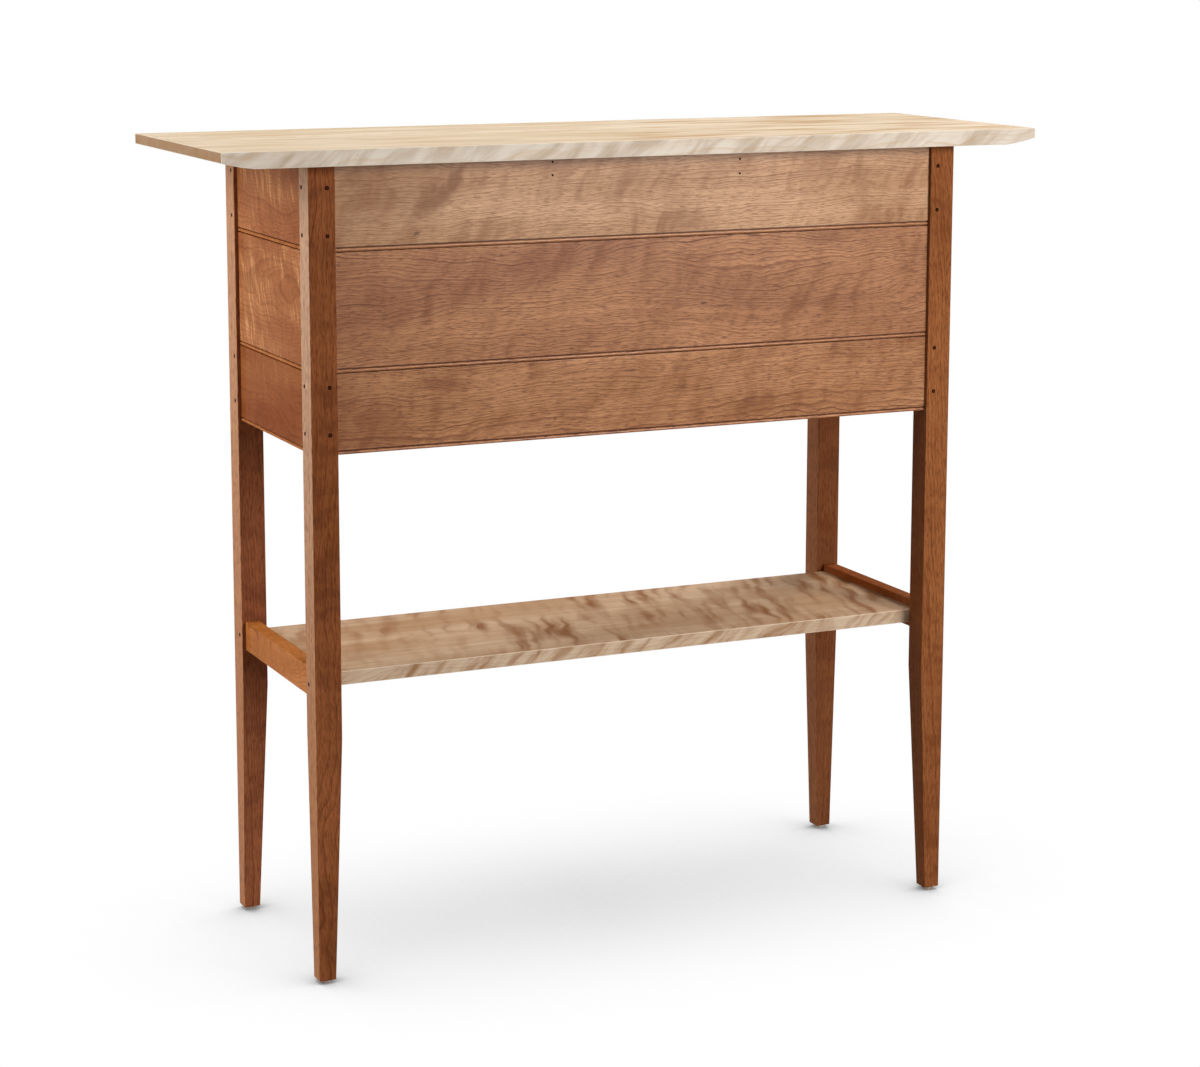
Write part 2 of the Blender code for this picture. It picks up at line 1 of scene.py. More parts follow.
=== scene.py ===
"""Looks of a tall cherry sideboard with a curly birch top and shelf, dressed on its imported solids.

Lengths are metres in the shared frame: -Y is the panelled back, +Y the drawer side, +Z up. The woods'
patterns are worked out in millimetres, with the first axis along the grain.
"""

import json
import logging
import math
from collections.abc import Iterable, Sequence
from dataclasses import dataclass, field, replace
from enum import Enum
from typing import Any

import bmesh
import bpy
import numpy as np
from mathutils import Euler, Matrix, Vector

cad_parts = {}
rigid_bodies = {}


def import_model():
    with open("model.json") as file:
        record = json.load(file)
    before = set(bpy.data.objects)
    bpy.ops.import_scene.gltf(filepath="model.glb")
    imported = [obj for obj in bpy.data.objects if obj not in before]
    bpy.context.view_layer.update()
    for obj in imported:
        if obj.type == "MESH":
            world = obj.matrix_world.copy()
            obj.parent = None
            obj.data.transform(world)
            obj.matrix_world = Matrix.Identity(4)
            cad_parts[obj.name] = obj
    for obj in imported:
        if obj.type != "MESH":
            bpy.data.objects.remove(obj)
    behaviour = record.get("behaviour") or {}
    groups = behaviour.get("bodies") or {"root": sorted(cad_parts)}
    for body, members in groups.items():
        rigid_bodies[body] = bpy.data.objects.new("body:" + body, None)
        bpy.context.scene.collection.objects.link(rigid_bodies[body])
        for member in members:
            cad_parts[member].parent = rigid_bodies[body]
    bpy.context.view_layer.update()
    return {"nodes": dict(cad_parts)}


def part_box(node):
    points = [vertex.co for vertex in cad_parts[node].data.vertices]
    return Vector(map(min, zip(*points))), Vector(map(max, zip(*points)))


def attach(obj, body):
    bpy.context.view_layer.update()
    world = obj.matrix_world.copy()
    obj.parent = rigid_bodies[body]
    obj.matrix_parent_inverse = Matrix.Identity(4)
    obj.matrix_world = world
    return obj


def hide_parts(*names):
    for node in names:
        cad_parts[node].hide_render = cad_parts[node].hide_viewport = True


for leftover in list(bpy.data.objects):
    bpy.data.objects.remove(leftover)
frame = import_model()

logging.basicConfig(level=logging.INFO, format="%(message)s")
log = logging.getLogger("sideboard")

PHOTO_WIDTH = 1200
MM = 0.001
CREASE = 35.0
CASE = "case"

Colour = tuple[float, float, float, float]
Socket = bpy.types.NodeSocket
Tree = bpy.types.NodeTree
Piece = bpy.types.Object


class Grain(Enum):
    """Which way the grain of a piece runs, as the turn (degrees) that brings it onto the first axis."""

    ALONG_X = (0.0, 0.0, 0.0)
    ALONG_Y = (0.0, 0.0, -90.0)
    ALONG_Z = (0.0, 90.0, 0.0)


class Stain(Enum):
    """What a fixed mark on a board is: a smoky cloud, or a spot of gum. Broad smoky marks also lay painted shade."""

    SMOKE = "smoke"
    GUM = "gum"


class Corner(Enum):
    """The four legs, by the signs of their places along X and Y."""

    back_left = (-1, -1)
    back_right = (1, -1)
    front_left = (-1, 1)
    front_right = (1, 1)


def linear(code: str) -> Colour:
    """Turn an sRGB hex colour into linear light with the standard curve.

    Args:
        code: six hex digits after a hash.

    Returns:
        Red, green, blue and an alpha of one.
    """
    channels = np.array([int(code[at:at + 2], 16) for at in (1, 3, 5)]) / 255.0
    curved = ((channels + 0.055) / 1.055) ** 2.4
    return (*np.where(channels <= 0.04045, channels / 12.92, curved).tolist(), 1.0)


def add_node(
    tree: Tree, kind: str, inputs: dict | None = None, output: int = 0, **settings: Any
) -> Socket | None:
    """Add a node with its settings, values and links.

    Args:
        tree: the node tree that gets the node.
        kind: Blender's type name of the node.
        inputs: a value or another node's socket for each named or numbered input.
        output: the number of the output wanted.
        settings: properties of the node.

    Returns:
        That output's socket, or None for a node that has none.
    """
    node = tree.nodes.new(kind)
    for name, value in settings.items():
        setattr(node, name, value)
    for name, value in (inputs or {}).items():
        if isinstance(value, Socket):
            tree.links.new(value, node.inputs[name])
        else:
            node.inputs[name].default_value = value
    return node.outputs[output] if node.outputs else None


def new_material(name: str) -> tuple[bpy.types.Material, Tree]:
    """Make an empty node material.

    Args:
        name: the material's name.

    Returns:
        The material and its node tree.
    """
    material = bpy.data.materials.new(name)
    material.use_nodes = True
    material.node_tree.nodes.clear()
    return material, material.node_tree


def close_surface(tree: Tree, shader: Socket) -> None:
    """Join a finished shader to the material's output."""
    add_node(tree, "ShaderNodeOutputMaterial", {"Surface": shader})


def tinted(tree: Tree, share: Socket, under: Socket | Colour, over: Socket | Colour) -> Socket:
    """Lay one colour over another.

    Args:
        tree: the node tree.
        share: how much of the upper colour shows, 0 to 1.
        under: the colour below.
        over: the colour laid on it.

    Returns:
        The mixed colour.
    """
    return add_node(tree, "ShaderNodeMix", {0: share, 6: under, 7: over}, 2, data_type="RGBA")


def eased(tree: Tree, value: Socket, start: float, end: float, low: float = 0.0, high: float = 1.0) -> Socket:
    """Map a value from start..end onto low..high with a smooth step.

    Args:
        tree: the node tree.
        value: the value to map.
        start: the value that gives low.
        end: the value that gives high.
        low: the result at start.
        high: the result at end.

    Returns:
        The mapped value.
    """
    limits = {"Value": value, "From Min": start, "From Max": end, "To Min": low, "To Max": high}
    return add_node(tree, "ShaderNodeMapRange", limits, interpolation_type="SMOOTHSTEP")


@dataclass(frozen=True)
class Mark:
    """A soft-edged stain at one place on a board.

    Attributes:
        stain: what it is.
        place: millimetres from the board's middle, along the grain and up the face.
        size: half its length and half its breadth, mm.
        tilt: how far its length rises from the grain, degrees.
        share: how strong it is.
    """

    stain: Stain
    place: tuple[float, float]
    size: tuple[float, float]
    tilt: float
    share: float


@dataclass(frozen=True)
class Stock:
    """How a piece was sawn from its log.

    Attributes:
        middle: the piece's middle in the frame.
        grain: which way its grain runs.
        heart: how far (mm) the log's heart lies from the middle, along the two axes across the grain.
        lean: how far (degrees) the log leans from the piece's length, about those two axes.
        seed: which log it is.
        bead: how high over the floor its beaded lower edge is; 0 for a piece with no bead.
        marks: its stains.
    """

    middle: Vector
    grain: Grain
    heart: tuple[float, float]
    lean: tuple[float, float] = (0.0, 0.0)
    seed: float = 0.0
    bead: float = 0.0
    marks: tuple[Mark, ...] = ()

    def place(self, tree: Tree) -> Socket:
        """Return the point in millimetres from the piece's middle, with the first axis along the grain."""
        turn = Euler([math.radians(angle) for angle in self.grain.value])
        lean = Euler((0.0, math.radians(self.lean[0]), math.radians(self.lean[1])))
        both = lean.to_matrix() @ turn.to_matrix()
        coordinates = add_node(tree, "ShaderNodeTexCoord", output=3)
        mapping = {
            "Vector": coordinates,
            "Location": both @ self.middle / -MM,
            "Rotation": both.to_euler(),
            "Scale": (1 / MM, 1 / MM, 1 / MM),
        }
        return add_node(tree, "ShaderNodeMapping", mapping)


def wood_noise(
    tree: Tree, place: Socket, size: Sequence[float], seed: float, detail: float, output: int = 0
) -> Socket:
    """Return noise whose blotches have a given size along and across the grain.

    Args:
        tree: the node tree.
        place: a point in millimetres, as Stock.place gives it.
        size: millimetres along the grain and along the two axes across it.
        seed: which log it is.
        detail: how many finer layers the noise has.
        output: 0 for a value, 1 for three values.

    Returns:
        The noise, around 0.5.
    """
    scaled = add_node(
        tree, "ShaderNodeVectorMath", {0: place, 1: [1 / length for length in size]}, operation="MULTIPLY"
    )
    inputs = {"Vector": scaled, "W": seed, "Scale": 1.0, "Detail": detail, "Roughness": 0.5}
    return add_node(tree, "ShaderNodeTexNoise", inputs, output, noise_dimensions="4D")


def facing(tree: Tree, axis: int) -> Socket:
    """Return how squarely a face looks along an axis either way, 0 to 1."""
    normal = add_node(tree, "ShaderNodeNewGeometry", output=3)
    part = add_node(tree, "ShaderNodeSeparateXYZ", {0: normal}, axis)
    return add_node(tree, "ShaderNodeMath", {0: part}, operation="ABSOLUTE")


def scaled(tree: Tree, value: Socket, share: float | Socket) -> Socket:
    """Return a value times a share."""
    return add_node(tree, "ShaderNodeMath", {0: value, 1: share}, operation="MULTIPLY")


def leaning(tree: Tree, place: Socket, slope: float, swing: float, seed: float, axis: int = 2) -> Socket:
    """Push points along the grain, by a slope for each millimetre across it and by slow noise.

    Args:
        tree: the node tree.
        place: a point in millimetres.
        slope: the push along the grain for each millimetre along the axis across it.
        swing: how far the noise pushes, mm.
        seed: which log it is.
        axis: which axis is across the grain on the face, 1 or 2.

    Returns:
        The pushed point.
    """
    across = add_node(tree, "ShaderNodeSeparateXYZ", {0: place}, axis)
    push = add_node(tree, "ShaderNodeCombineXYZ", {0: scaled(tree, across, -slope)})
    sheared = add_node(tree, "ShaderNodeVectorMath", {0: place, 1: push}, operation="ADD")
    bend = wood_noise(tree, place, (75.0, 45.0, 45.0), seed, 1.0, output=1)
    inputs = {0: bend, 1: (swing, 0.0, 0.0), 2: sheared}
    return add_node(tree, "ShaderNodeVectorMath", inputs, operation="MULTIPLY_ADD")


@dataclass(frozen=True)
class Growth:
    """The growth rings of a log.

    The sawn face cuts rings about the log's heart, which wander along the grain, so thin dark latewood
    lines run along the board and arch where the cut is flat.

    Attributes:
        ring: the usual width of a year's growth, mm; drawn a little wide so that the lines show.
        slow: how far the rings wander over a hand's length, mm.
        quick: how far they tremble over a finger's length, mm.
        faint: the strength of the faintest line.
        soft: the strength of the soft band that leads up to each line.
    """

    ring: float = 3.4
    slow: float = 55.0
    quick: float = 13.0
    faint: float = 0.6
    soft: float = 0.3

    def radius(self, tree: Tree, place: Socket, stock: Stock) -> Socket:
        """Return the distance (mm) from the heart across the grain, after noise has pushed the point aside."""
        far = wood_noise(tree, place, (260.0, 110.0, 110.0), stock.seed, 1.0, output=1)
        near = wood_noise(tree, place, (60.0, 42.0, 42.0), stock.seed + 5, 1.5, output=1)
        inputs = {0: far, 1: (0.0, self.slow, self.slow), 2: place}
        bent = add_node(tree, "ShaderNodeVectorMath", inputs, operation="MULTIPLY_ADD")
        inputs = {0: near, 1: (0.0, self.quick, self.quick), 2: bent}
        bent = add_node(tree, "ShaderNodeVectorMath", inputs, operation="MULTIPLY_ADD")
        middle = (self.slow + self.quick) / 2
        inputs = {0: bent, 1: (0.0, 1.0, 1.0), 2: (0.0, -stock.heart[0] - middle, -stock.heart[1] - middle)}
        across = add_node(tree, "ShaderNodeVectorMath", inputs, operation="MULTIPLY_ADD")
        return add_node(tree, "ShaderNodeVectorMath", {0: across}, 1, operation="LENGTH")

    def lines(self, tree: Tree, place: Socket, stock: Stock) -> Socket:
        """Draw the latewood lines.

        The radius divided by the ring's width, and loosened by noise along the radius, counts the years.
        Its whole part numbers the ring. Its fraction darkens slowly through the ring, draws a thin stroke
        near the end and drops at the ring's edge.

        Args:
            tree: the node tree.
            place: the point in millimetres.
            stock: how the piece was sawn.

        Returns:
            0 between the lines and up to 1 on the boldest.
        """
        years = scaled(tree, self.radius(tree, place, stock), 1 / self.ring)
        inputs = {"W": years, "Scale": 0.35, "Detail": 1.0}
        uneven = add_node(tree, "ShaderNodeTexNoise", inputs, noise_dimensions="1D")
        count = add_node(tree, "ShaderNodeMath", {0: uneven, 1: 2.2, 2: years}, operation="MULTIPLY_ADD")
        within = add_node(tree, "ShaderNodeMath", {0: count}, operation="FRACT")
        number = add_node(tree, "ShaderNodeMath", {0: count}, operation="FLOOR")
        chance = add_node(tree, "ShaderNodeTexWhiteNoise", {"W": number}, noise_dimensions="1D")
        bold = eased(tree, chance, 0.2, 1.0, self.faint, 1.0)
        stroke = scaled(tree, eased(tree, within, 0.72, 0.86), bold)
        band = eased(tree, within, 0.1, 0.9, 0.0, self.soft)
        line = add_node(tree, "ShaderNodeMath", {0: stroke, 1: band}, operation="MAXIMUM")
        line = scaled(tree, line, eased(tree, within, 0.95, 1.0, 1.0, 0.0))
        patch = wood_noise(tree, place, (150.0, 12.0, 12.0), stock.seed + 3, 1.0)
        return scaled(tree, line, eased(tree, patch, 0.3, 0.6, self.faint, 1.0))


@dataclass(frozen=True)
class RingWood:
    """A wood whose look comes from its growth rings, under a satin oil and varnish finish.

    Between the latewood lines the fibres ripple, which shows as soft cross bands, and here and there as
    bright curls. Smoky stains drift over the board, fine fibres and short dark gum flecks lie along it,
    and a beaded edge takes a deeper tone, partly oil and partly painted light, with painted shade in its groove.

    Attributes:
        name: the wood and its finish.
        pale: the lightest ground colour.
        ground: the usual ground colour.
        cloud: the colour of the ripples.
        late: the colour of the latewood lines.
        gum: the colour of the gum flecks.
        smoke: the colour of the smoky stains, and of the broad marks that lay painted shade on the back boards.
        curl: the colour of the curls.
        bead: the colour of a beaded edge, partly painted light.
        quirk_shade: the colour of the groove over the bead, painted shade with the oil gathered there.
        growth: the rings.
        side: a colour painted on faces that look along X for how light falls on that leg's sides: painted light where
            the lamps reach them, painted shade where they stand in shadow.
        painted_side_low: that colour at the lower end.
        painted_side_share: how much of that colour such faces take.
        ripple_size: length and breadth of the ripples, mm.
        ripple_lean: how far a ripple moves along the grain for each millimetre across it.
        ripple_share: how strong the ripples are.
        smoke_share: how strong the smoky stains are.
        curl_share: how strong the curls are.
        line_share: how strong the latewood lines are.
        fibre_share: how strong the fibres are.
        sheen: the specular level of the oil.
        gum_share: the part of the possible flecks that are there.
        roughness: the finish's roughness.
    """

    name: str
    pale: str
    ground: str
    cloud: str
    late: str
    gum: str
    smoke: str = "#6F412C"
    curl: str = "#D39A62"
    bead: str = "#A86C40"
    quirk_shade: str = "#4E1E06"
    growth: Growth = Growth()
    side: str = "#C8A284"
    painted_side_low: str = "#B0784E"
    painted_side_share: float = 0.0
    ripple_size: tuple[float, float] = (24.0, 75.0)
    ripple_lean: float = 0.4
    ripple_share: float = 0.75
    smoke_share: float = 0.44
    curl_share: float = 0.0
    line_share: float = 0.8
    fibre_share: float = 0.6
    sheen: float = 0.26
    gum_share: float = 0.02
    roughness: float = 0.28

    def flecks(self, tree: Tree, place: Socket) -> Socket:
        """Draw short gum flecks: stretched cells of which a few, by chance, are dark near their middles.

        Args:
            tree: the node tree.
            place: the point in millimetres.

        Returns:
            1 in a fleck and 0 elsewhere.
        """
        shape = {0: place, 1: (1 / 17.0, 1 / 2.8, 1 / 2.8)}
        inputs = {"Vector": add_node(tree, "ShaderNodeVectorMath", shape, operation="MULTIPLY"), "Scale": 1.0}
        nearness = add_node(tree, "ShaderNodeTexVoronoi", inputs)
        chance = add_node(tree, "ShaderNodeTexVoronoi", inputs, 1)
        picked = eased(tree, chance, 1 - self.gum_share, 1 - 0.8 * self.gum_share)
        return scaled(tree, picked, eased(tree, nearness, 0.15, 0.42, 1.0, 0.0))

    def ground_colour(self, tree: Tree, place: Socket, stock: Stock) -> Socket:
        """Lay the ground: a slow drift of tone, ripples, stains, curls, painted light and shade on side faces, and the
        bead.

        Args:
            tree: the node tree.
            place: the point in millimetres.
            stock: how the piece was sawn.

        Returns:
            The colour under the lines.
        """
        long, broad = self.ripple_size
        drift = wood_noise(tree, place, (260.0, 60.0, 60.0), stock.seed + 1, 2.0)
        colour = tinted(tree, eased(tree, drift, 0.32, 0.68), linear(self.ground), linear(self.pale))
        moved = leaning(tree, place, self.ripple_lean, 60.0, stock.seed + 6)
        ripple = wood_noise(tree, moved, (long, broad, broad), stock.seed + 2, 2.0)
        ripple = eased(tree, ripple, 0.42, 0.68, 0.0, self.ripple_share)
        ripple = scaled(tree, ripple, eased(tree, drift, 0.35, 0.62, 1.0, 0.3))
        colour = tinted(tree, ripple, colour, linear(self.cloud))
        smoke = wood_noise(tree, moved, (75.0, 60.0, 60.0), stock.seed + 7, 4.0)
        colour = tinted(tree, eased(tree, smoke, 0.54, 0.76, 0.0, self.smoke_share), colour, linear(self.smoke))
        # Stains, and broad marks that lay painted shade over the back boards' left ends.
        for mark in stock.marks:
            stain = linear(self.gum if mark.stain is Stain.GUM else self.smoke)
            colour = tinted(tree, self.stained(tree, place, mark), colour, stain)
        if self.curl_share:
            slanted = leaning(tree, place, 0.35, 25.0, stock.seed + 8)
            curl = wood_noise(tree, slanted, (6.5, 60.0, 60.0), stock.seed, 1.0)
            curl = scaled(tree, eased(tree, curl, 0.48, 0.7, 0.0, self.curl_share), eased(tree, drift, 0.42, 0.58))
            colour = tinted(tree, curl, colour, linear(self.curl))
        # Painted light and shade: faces that look along X take the side colour, fading to another tone towards the
        # lower end.
        if self.painted_side_share:
            height = add_node(tree, "ShaderNodeSeparateXYZ", {0: place}, 0)
            side = tinted(tree, eased(tree, height, -400.0, 450.0), linear(self.painted_side_low), linear(self.side))
            sideways = eased(tree, facing(tree, 0), 0.3, 0.9, 0.0, self.painted_side_share)
            colour = tinted(tree, sideways, colour, side)
        return self.beaded(tree, colour, stock) if stock.bead else colour

    def stained(self, tree: Tree, place: Socket, mark: Mark) -> Socket:
        """Draw one stain: the distance from its middle in half sizes, loosened by noise, fades it out.

        Args:
            tree: the node tree.
            place: the point in millimetres.
            mark: the stain.

        Returns:
            How strong the stain is at the point.
        """
        (along, up), (length, breadth) = mark.place, mark.size
        loose = wood_noise(tree, place, (length / 2, breadth, breadth), along, 2.0, output=1)
        inputs = {
            "Vector": place,
            "Location": (along, 0.0, up),
            "Rotation": (0.0, math.radians(-mark.tilt), 0.0),
            "Scale": (length, 1000.0, breadth),
        }
        inside = add_node(tree, "ShaderNodeMapping", inputs, vector_type="TEXTURE")
        inputs = {0: loose, 1: (1.2, 0.0, 1.2), 2: inside}
        inside = add_node(tree, "ShaderNodeVectorMath", inputs, operation="MULTIPLY_ADD")
        centred = {0: inside, 1: (0.6, 0.0, 0.6)}
        inside = add_node(tree, "ShaderNodeVectorMath", centred, operation="SUBTRACT")
        distance = add_node(tree, "ShaderNodeVectorMath", {0: inside}, 1, operation="LENGTH")
        return eased(tree, distance, 0.3, 1.1, mark.share, 0.0)

    def beaded(self, tree: Tree, colour: Socket, stock: Stock) -> Socket:
        """Tint the bead along a board's lower edge, partly painted light, and paint shade into the groove from 4.4 to
        5.7 mm over that edge.

        Args:
            tree: the node tree.
            colour: the board's colour.
            stock: how the board was sawn.

        Returns:
            The colour with the bead.
        """
        coordinates = add_node(tree, "ShaderNodeTexCoord", output=3)
        level = add_node(tree, "ShaderNodeSeparateXYZ", {0: coordinates}, 2)
        inputs = {0: level, 1: 1 / MM, 2: -stock.bead / MM}
        height = add_node(tree, "ShaderNodeMath", inputs, operation="MULTIPLY_ADD")
        # Partly painted light: the bead takes a deeper tone of its own.
        colour = tinted(tree, eased(tree, height, 4.0, 4.6, 0.8, 0.0), colour, linear(self.bead))
        # Painted shade: the groove over the bead is darkened.
        quirk_shade = scaled(tree, eased(tree, height, 4.0, 4.5), eased(tree, height, 5.7, 6.4, 0.9, 0.0))
        return tinted(tree, quirk_shade, colour, linear(self.quirk_shade))

    def material(self, name: str, stock: Stock) -> bpy.types.Material:
        """Make the wood's material for a piece.

        Args:
            name: the piece's name.
            stock: how the piece was sawn.

        Returns:
            The material.
        """
        material, tree = new_material(f"{self.name} {name}")
        place = stock.place(tree)
        fibre = wood_noise(tree, place, (11.0, 1.2, 1.2), stock.seed + 4, 2.0)
        line = self.growth.lines(tree, place, stock)
        colour = self.ground_colour(tree, place, stock)
        colour = tinted(tree, eased(tree, fibre, 0.43, 0.7, 0.0, self.fibre_share), colour, linear(self.late))
        colour = tinted(tree, scaled(tree, line, self.line_share), colour, linear(self.late))
        colour = tinted(tree, self.flecks(tree, place), colour, linear(self.gum))
        relief = add_node(tree, "ShaderNodeMath", {0: fibre, 1: 0.5, 2: line}, operation="MULTIPLY_ADD")
        bump = {"Height": relief, "Strength": 0.25, "Distance": 0.05 * MM}
        satin = eased(tree, fibre, 0.3, 0.7, self.roughness - 0.03, self.roughness + 0.04)
        dusty = eased(tree, facing(tree, 2), 0.2, 0.7, 0.0, 0.4)
        shader = {
            "Base Color": colour,
            "Roughness": add_node(tree, "ShaderNodeMath", {0: satin, 1: dusty}, operation="ADD"),
            "Normal": add_node(tree, "ShaderNodeBump", bump, invert=True),
            "IOR": 1.48,
            "Specular IOR Level": self.sheen,
        }
        close_surface(tree, add_node(tree, "ShaderNodeBsdfPrincipled", shader))
        return material


@dataclass(frozen=True)
class CurlyWood:
    """A pale wood with curly figure, under a satin varnish.

    The fibres ripple, so soft brown flames drift over the flat face, and slanting stripes cross the long
    edges, where the ripples come out sideways. Streaks and faint rings run along the grain. The ends soak
    up more oil and are darker. The rounded arrises are laid pale as a painted highlight, and are rougher where
    handling wears them.

    Attributes:
        name: the wood and its finish.
        pale: the lightest ground colour.
        ground: the usual ground colour.
        flame: the colour of the flames.
        streak: the colour of the streaks along the grain.
        edge: the ground colour of the long edges.
        stripe: the colour of the stripes on them.
        end: the colour of the end grain.
        worn: the pale colour laid on the arrises as a painted highlight.
        growth: the rings.
        flame_size: millimetres of a flame along and across the grain.
        flame_lean: how far a flame moves along the grain for each millimetre across it.
        flame_swing: how far noise bends the flames, mm.
        flame_trend: how much of the flames each millimetre along the grain adds.
        flame_share: how strong the flames are.
        streak_share: how strong the streaks are.
        stripe_size: millimetres of a stripe along and across the grain.
        slant: how far a stripe moves along the grain for each millimetre of thickness.
        stripe_share: how strong the stripes are.
        line_share: how strong the rings are.
        roughness: the finish's roughness.
    """

    name: str
    pale: str
    ground: str
    flame: str
    streak: str
    edge: str
    stripe: str
    end: str
    worn: str
    growth: Growth = Growth(ring=6.0, slow=60.0, quick=18.0)
    flame_size: tuple[float, float] = (26.0, 130.0)
    flame_lean: float = 0.35
    flame_swing: float = 40.0
    flame_trend: float = 0.0003
    flame_share: float = 0.6
    streak_share: float = 0.3
    stripe_size: tuple[float, float] = (15.0, 60.0)
    slant: float = 1.1
    stripe_share: float = 0.6
    line_share: float = 0.4
    roughness: float = 0.55

    def stripes(self, tree: Tree, place: Socket, stock: Stock) -> Socket:
        """Draw the stripes: noise stretched across the grain and slanted, broad ones with finer ones among them.

        Args:
            tree: the node tree.
            place: the point in millimetres.
            stock: how the piece was sawn.

        Returns:
            0 between the stripes and 1 in them.
        """
        along, across = self.stripe_size
        moved = leaning(tree, place, self.slant, 45.0, stock.seed + 5)
        broad = wood_noise(tree, moved, (along, across, across), stock.seed, 2.0)
        fine = wood_noise(tree, moved, (along / 3, across / 2, across / 4), stock.seed + 1, 2.0)
        both = add_node(tree, "ShaderNodeMath", {0: fine, 1: 0.4, 2: broad}, operation="MULTIPLY_ADD")
        return eased(tree, both, 0.58, 0.95)

    def material(self, name: str, stock: Stock) -> bpy.types.Material:
        """Make the wood's material for a piece.

        Args:
            name: the piece's name.
            stock: how the piece was sawn.

        Returns:
            The material.
        """
        material, tree = new_material(f"{self.name} {name}")
        place = stock.place(tree)
        long, broad = self.flame_size
        drift = wood_noise(tree, place, (300.0, 70.0, 70.0), stock.seed + 2, 2.0)
        fibre = wood_noise(tree, place, (24.0, 1.4, 1.4), stock.seed + 3, 3.0)
        moved = leaning(tree, place, self.flame_lean, self.flame_swing, stock.seed + 6, axis=1)
        flame = wood_noise(tree, moved, (long, broad, broad), stock.seed + 7, 1.5)
        along = add_node(tree, "ShaderNodeSeparateXYZ", {0: place}, 0)
        calm = wood_noise(tree, place, (190.0, 110.0, 110.0), stock.seed + 9, 1.0)
        inputs = {0: along, 1: self.flame_trend, 2: calm}
        calm = add_node(tree, "ShaderNodeMath", inputs, operation="MULTIPLY_ADD")
        streak = wood_noise(tree, place, (170.0, 13.0, 13.0), stock.seed + 8, 3.0)
        stripe = self.stripes(tree, place, stock)
        line = self.growth.lines(tree, place, stock)
        worn = add_node(tree, "ShaderNodeAttribute", output=2, attribute_name="wear")
        colour = tinted(tree, eased(tree, drift, 0.35, 0.65), linear(self.ground), linear(self.pale))
        colour = tinted(tree, eased(tree, streak, 0.42, 0.66, 0.0, self.streak_share), colour, linear(self.streak))
        flaming = eased(tree, flame, 0.42, 0.7, 0.0, self.flame_share)
        flaming = scaled(tree, flaming, eased(tree, calm, 0.35, 0.6, 0.25))
        colour = tinted(tree, flaming, colour, linear(self.flame))
        on_edge = tinted(tree, scaled(tree, stripe, self.stripe_share), linear(self.edge), linear(self.stripe))
        colour = tinted(tree, eased(tree, facing(tree, 1), 0.5, 0.9), colour, on_edge)
        colour = tinted(tree, scaled(tree, line, self.line_share), colour, linear(self.streak))
        colour = tinted(tree, eased(tree, fibre, 0.5, 0.8, 0.0, 0.25), colour, linear(self.streak))
        colour = tinted(tree, eased(tree, facing(tree, 0), 0.5, 0.9, 0.0, 0.8), colour, linear(self.end))
        # Painted highlight: the rounded arrises are laid pale.
        colour = tinted(tree, scaled(tree, worn, 0.5), colour, linear(self.worn))
        satin = eased(tree, flame, 0.3, 0.7, self.roughness - 0.03, self.roughness + 0.06)
        inputs = {0: worn, 1: 0.4, 2: satin}
        bump = {"Height": flame, "Strength": 0.2, "Distance": 0.3 * MM}
        shader = {
            "Base Color": colour,
            "Roughness": add_node(tree, "ShaderNodeMath", inputs, operation="MULTIPLY_ADD"),
            "Normal": add_node(tree, "ShaderNodeBump", bump),
            "IOR": 1.5,
            "Specular IOR Level": 0.02,
        }
        close_surface(tree, add_node(tree, "ShaderNodeBsdfPrincipled", shader))
        return material


@dataclass(frozen=True)
class PegWood:
    """Walnut pegs cut flush and oiled: dark end grain, darkest in the ring where peg and hole meet.

    Attributes:
        heart: the colour of the peg's middle.
        rim: the colour at its edge.
        pore: the size of the end grain's pores, drawn coarse enough to show, mm.
    """

    heart: str = "#3A1C0E"
    rim: str = "#0A0402"
    pore: float = 0.5

    def material(self, name: str) -> bpy.types.Material:
        """Make the pegs' material, which reads how near the rim a point is from the mesh."""
        material, tree = new_material(f"oiled walnut end grain {name}")
        rim = add_node(tree, "ShaderNodeAttribute", output=2, attribute_name="rim")
        coordinates = add_node(tree, "ShaderNodeTexCoord", output=3)
        pores = add_node(tree, "ShaderNodeTexNoise", {"Vector": coordinates, "Scale": 1 / (self.pore * MM)})
        worn = add_node(tree, "ShaderNodeMath", {0: pores, 1: 0.35, 2: rim}, operation="MULTIPLY_ADD")
        colour = tinted(tree, eased(tree, worn, 0.55, 1.0), linear(self.heart), linear(self.rim))
        shader = {"Base Color": colour, "Roughness": 0.75, "IOR": 1.48, "Specular IOR Level": 0.03}
        close_surface(tree, add_node(tree, "ShaderNodeBsdfPrincipled", shader))
        return material


@dataclass(frozen=True)
class GlidePlastic:
    """Moulded polyethylene glides: dull grey-brown, with a fine cloudiness and dust from the floor.

    Attributes:
        clean: the moulded colour.
        dusty: the colour of the scuffed parts.
        cloud: the size of the scuffs, mm.
    """

    clean: str = "#85766B"
    dusty: str = "#B4A599"
    cloud: float = 3.0

    def material(self) -> bpy.types.Material:
        """Make the glides' material."""
        material, tree = new_material("moulded polyethylene")
        coordinates = add_node(tree, "ShaderNodeTexCoord", output=3)
        inputs = {"Vector": coordinates, "Scale": 1 / (self.cloud * MM), "Detail": 3.0}
        scuff = add_node(tree, "ShaderNodeTexNoise", inputs)
        colour = tinted(tree, eased(tree, scuff, 0.4, 0.7), linear(self.clean), linear(self.dusty))
        shader = {"Base Color": colour, "Roughness": 0.55, "IOR": 1.51}
        close_surface(tree, add_node(tree, "ShaderNodeBsdfPrincipled", shader))
        return material


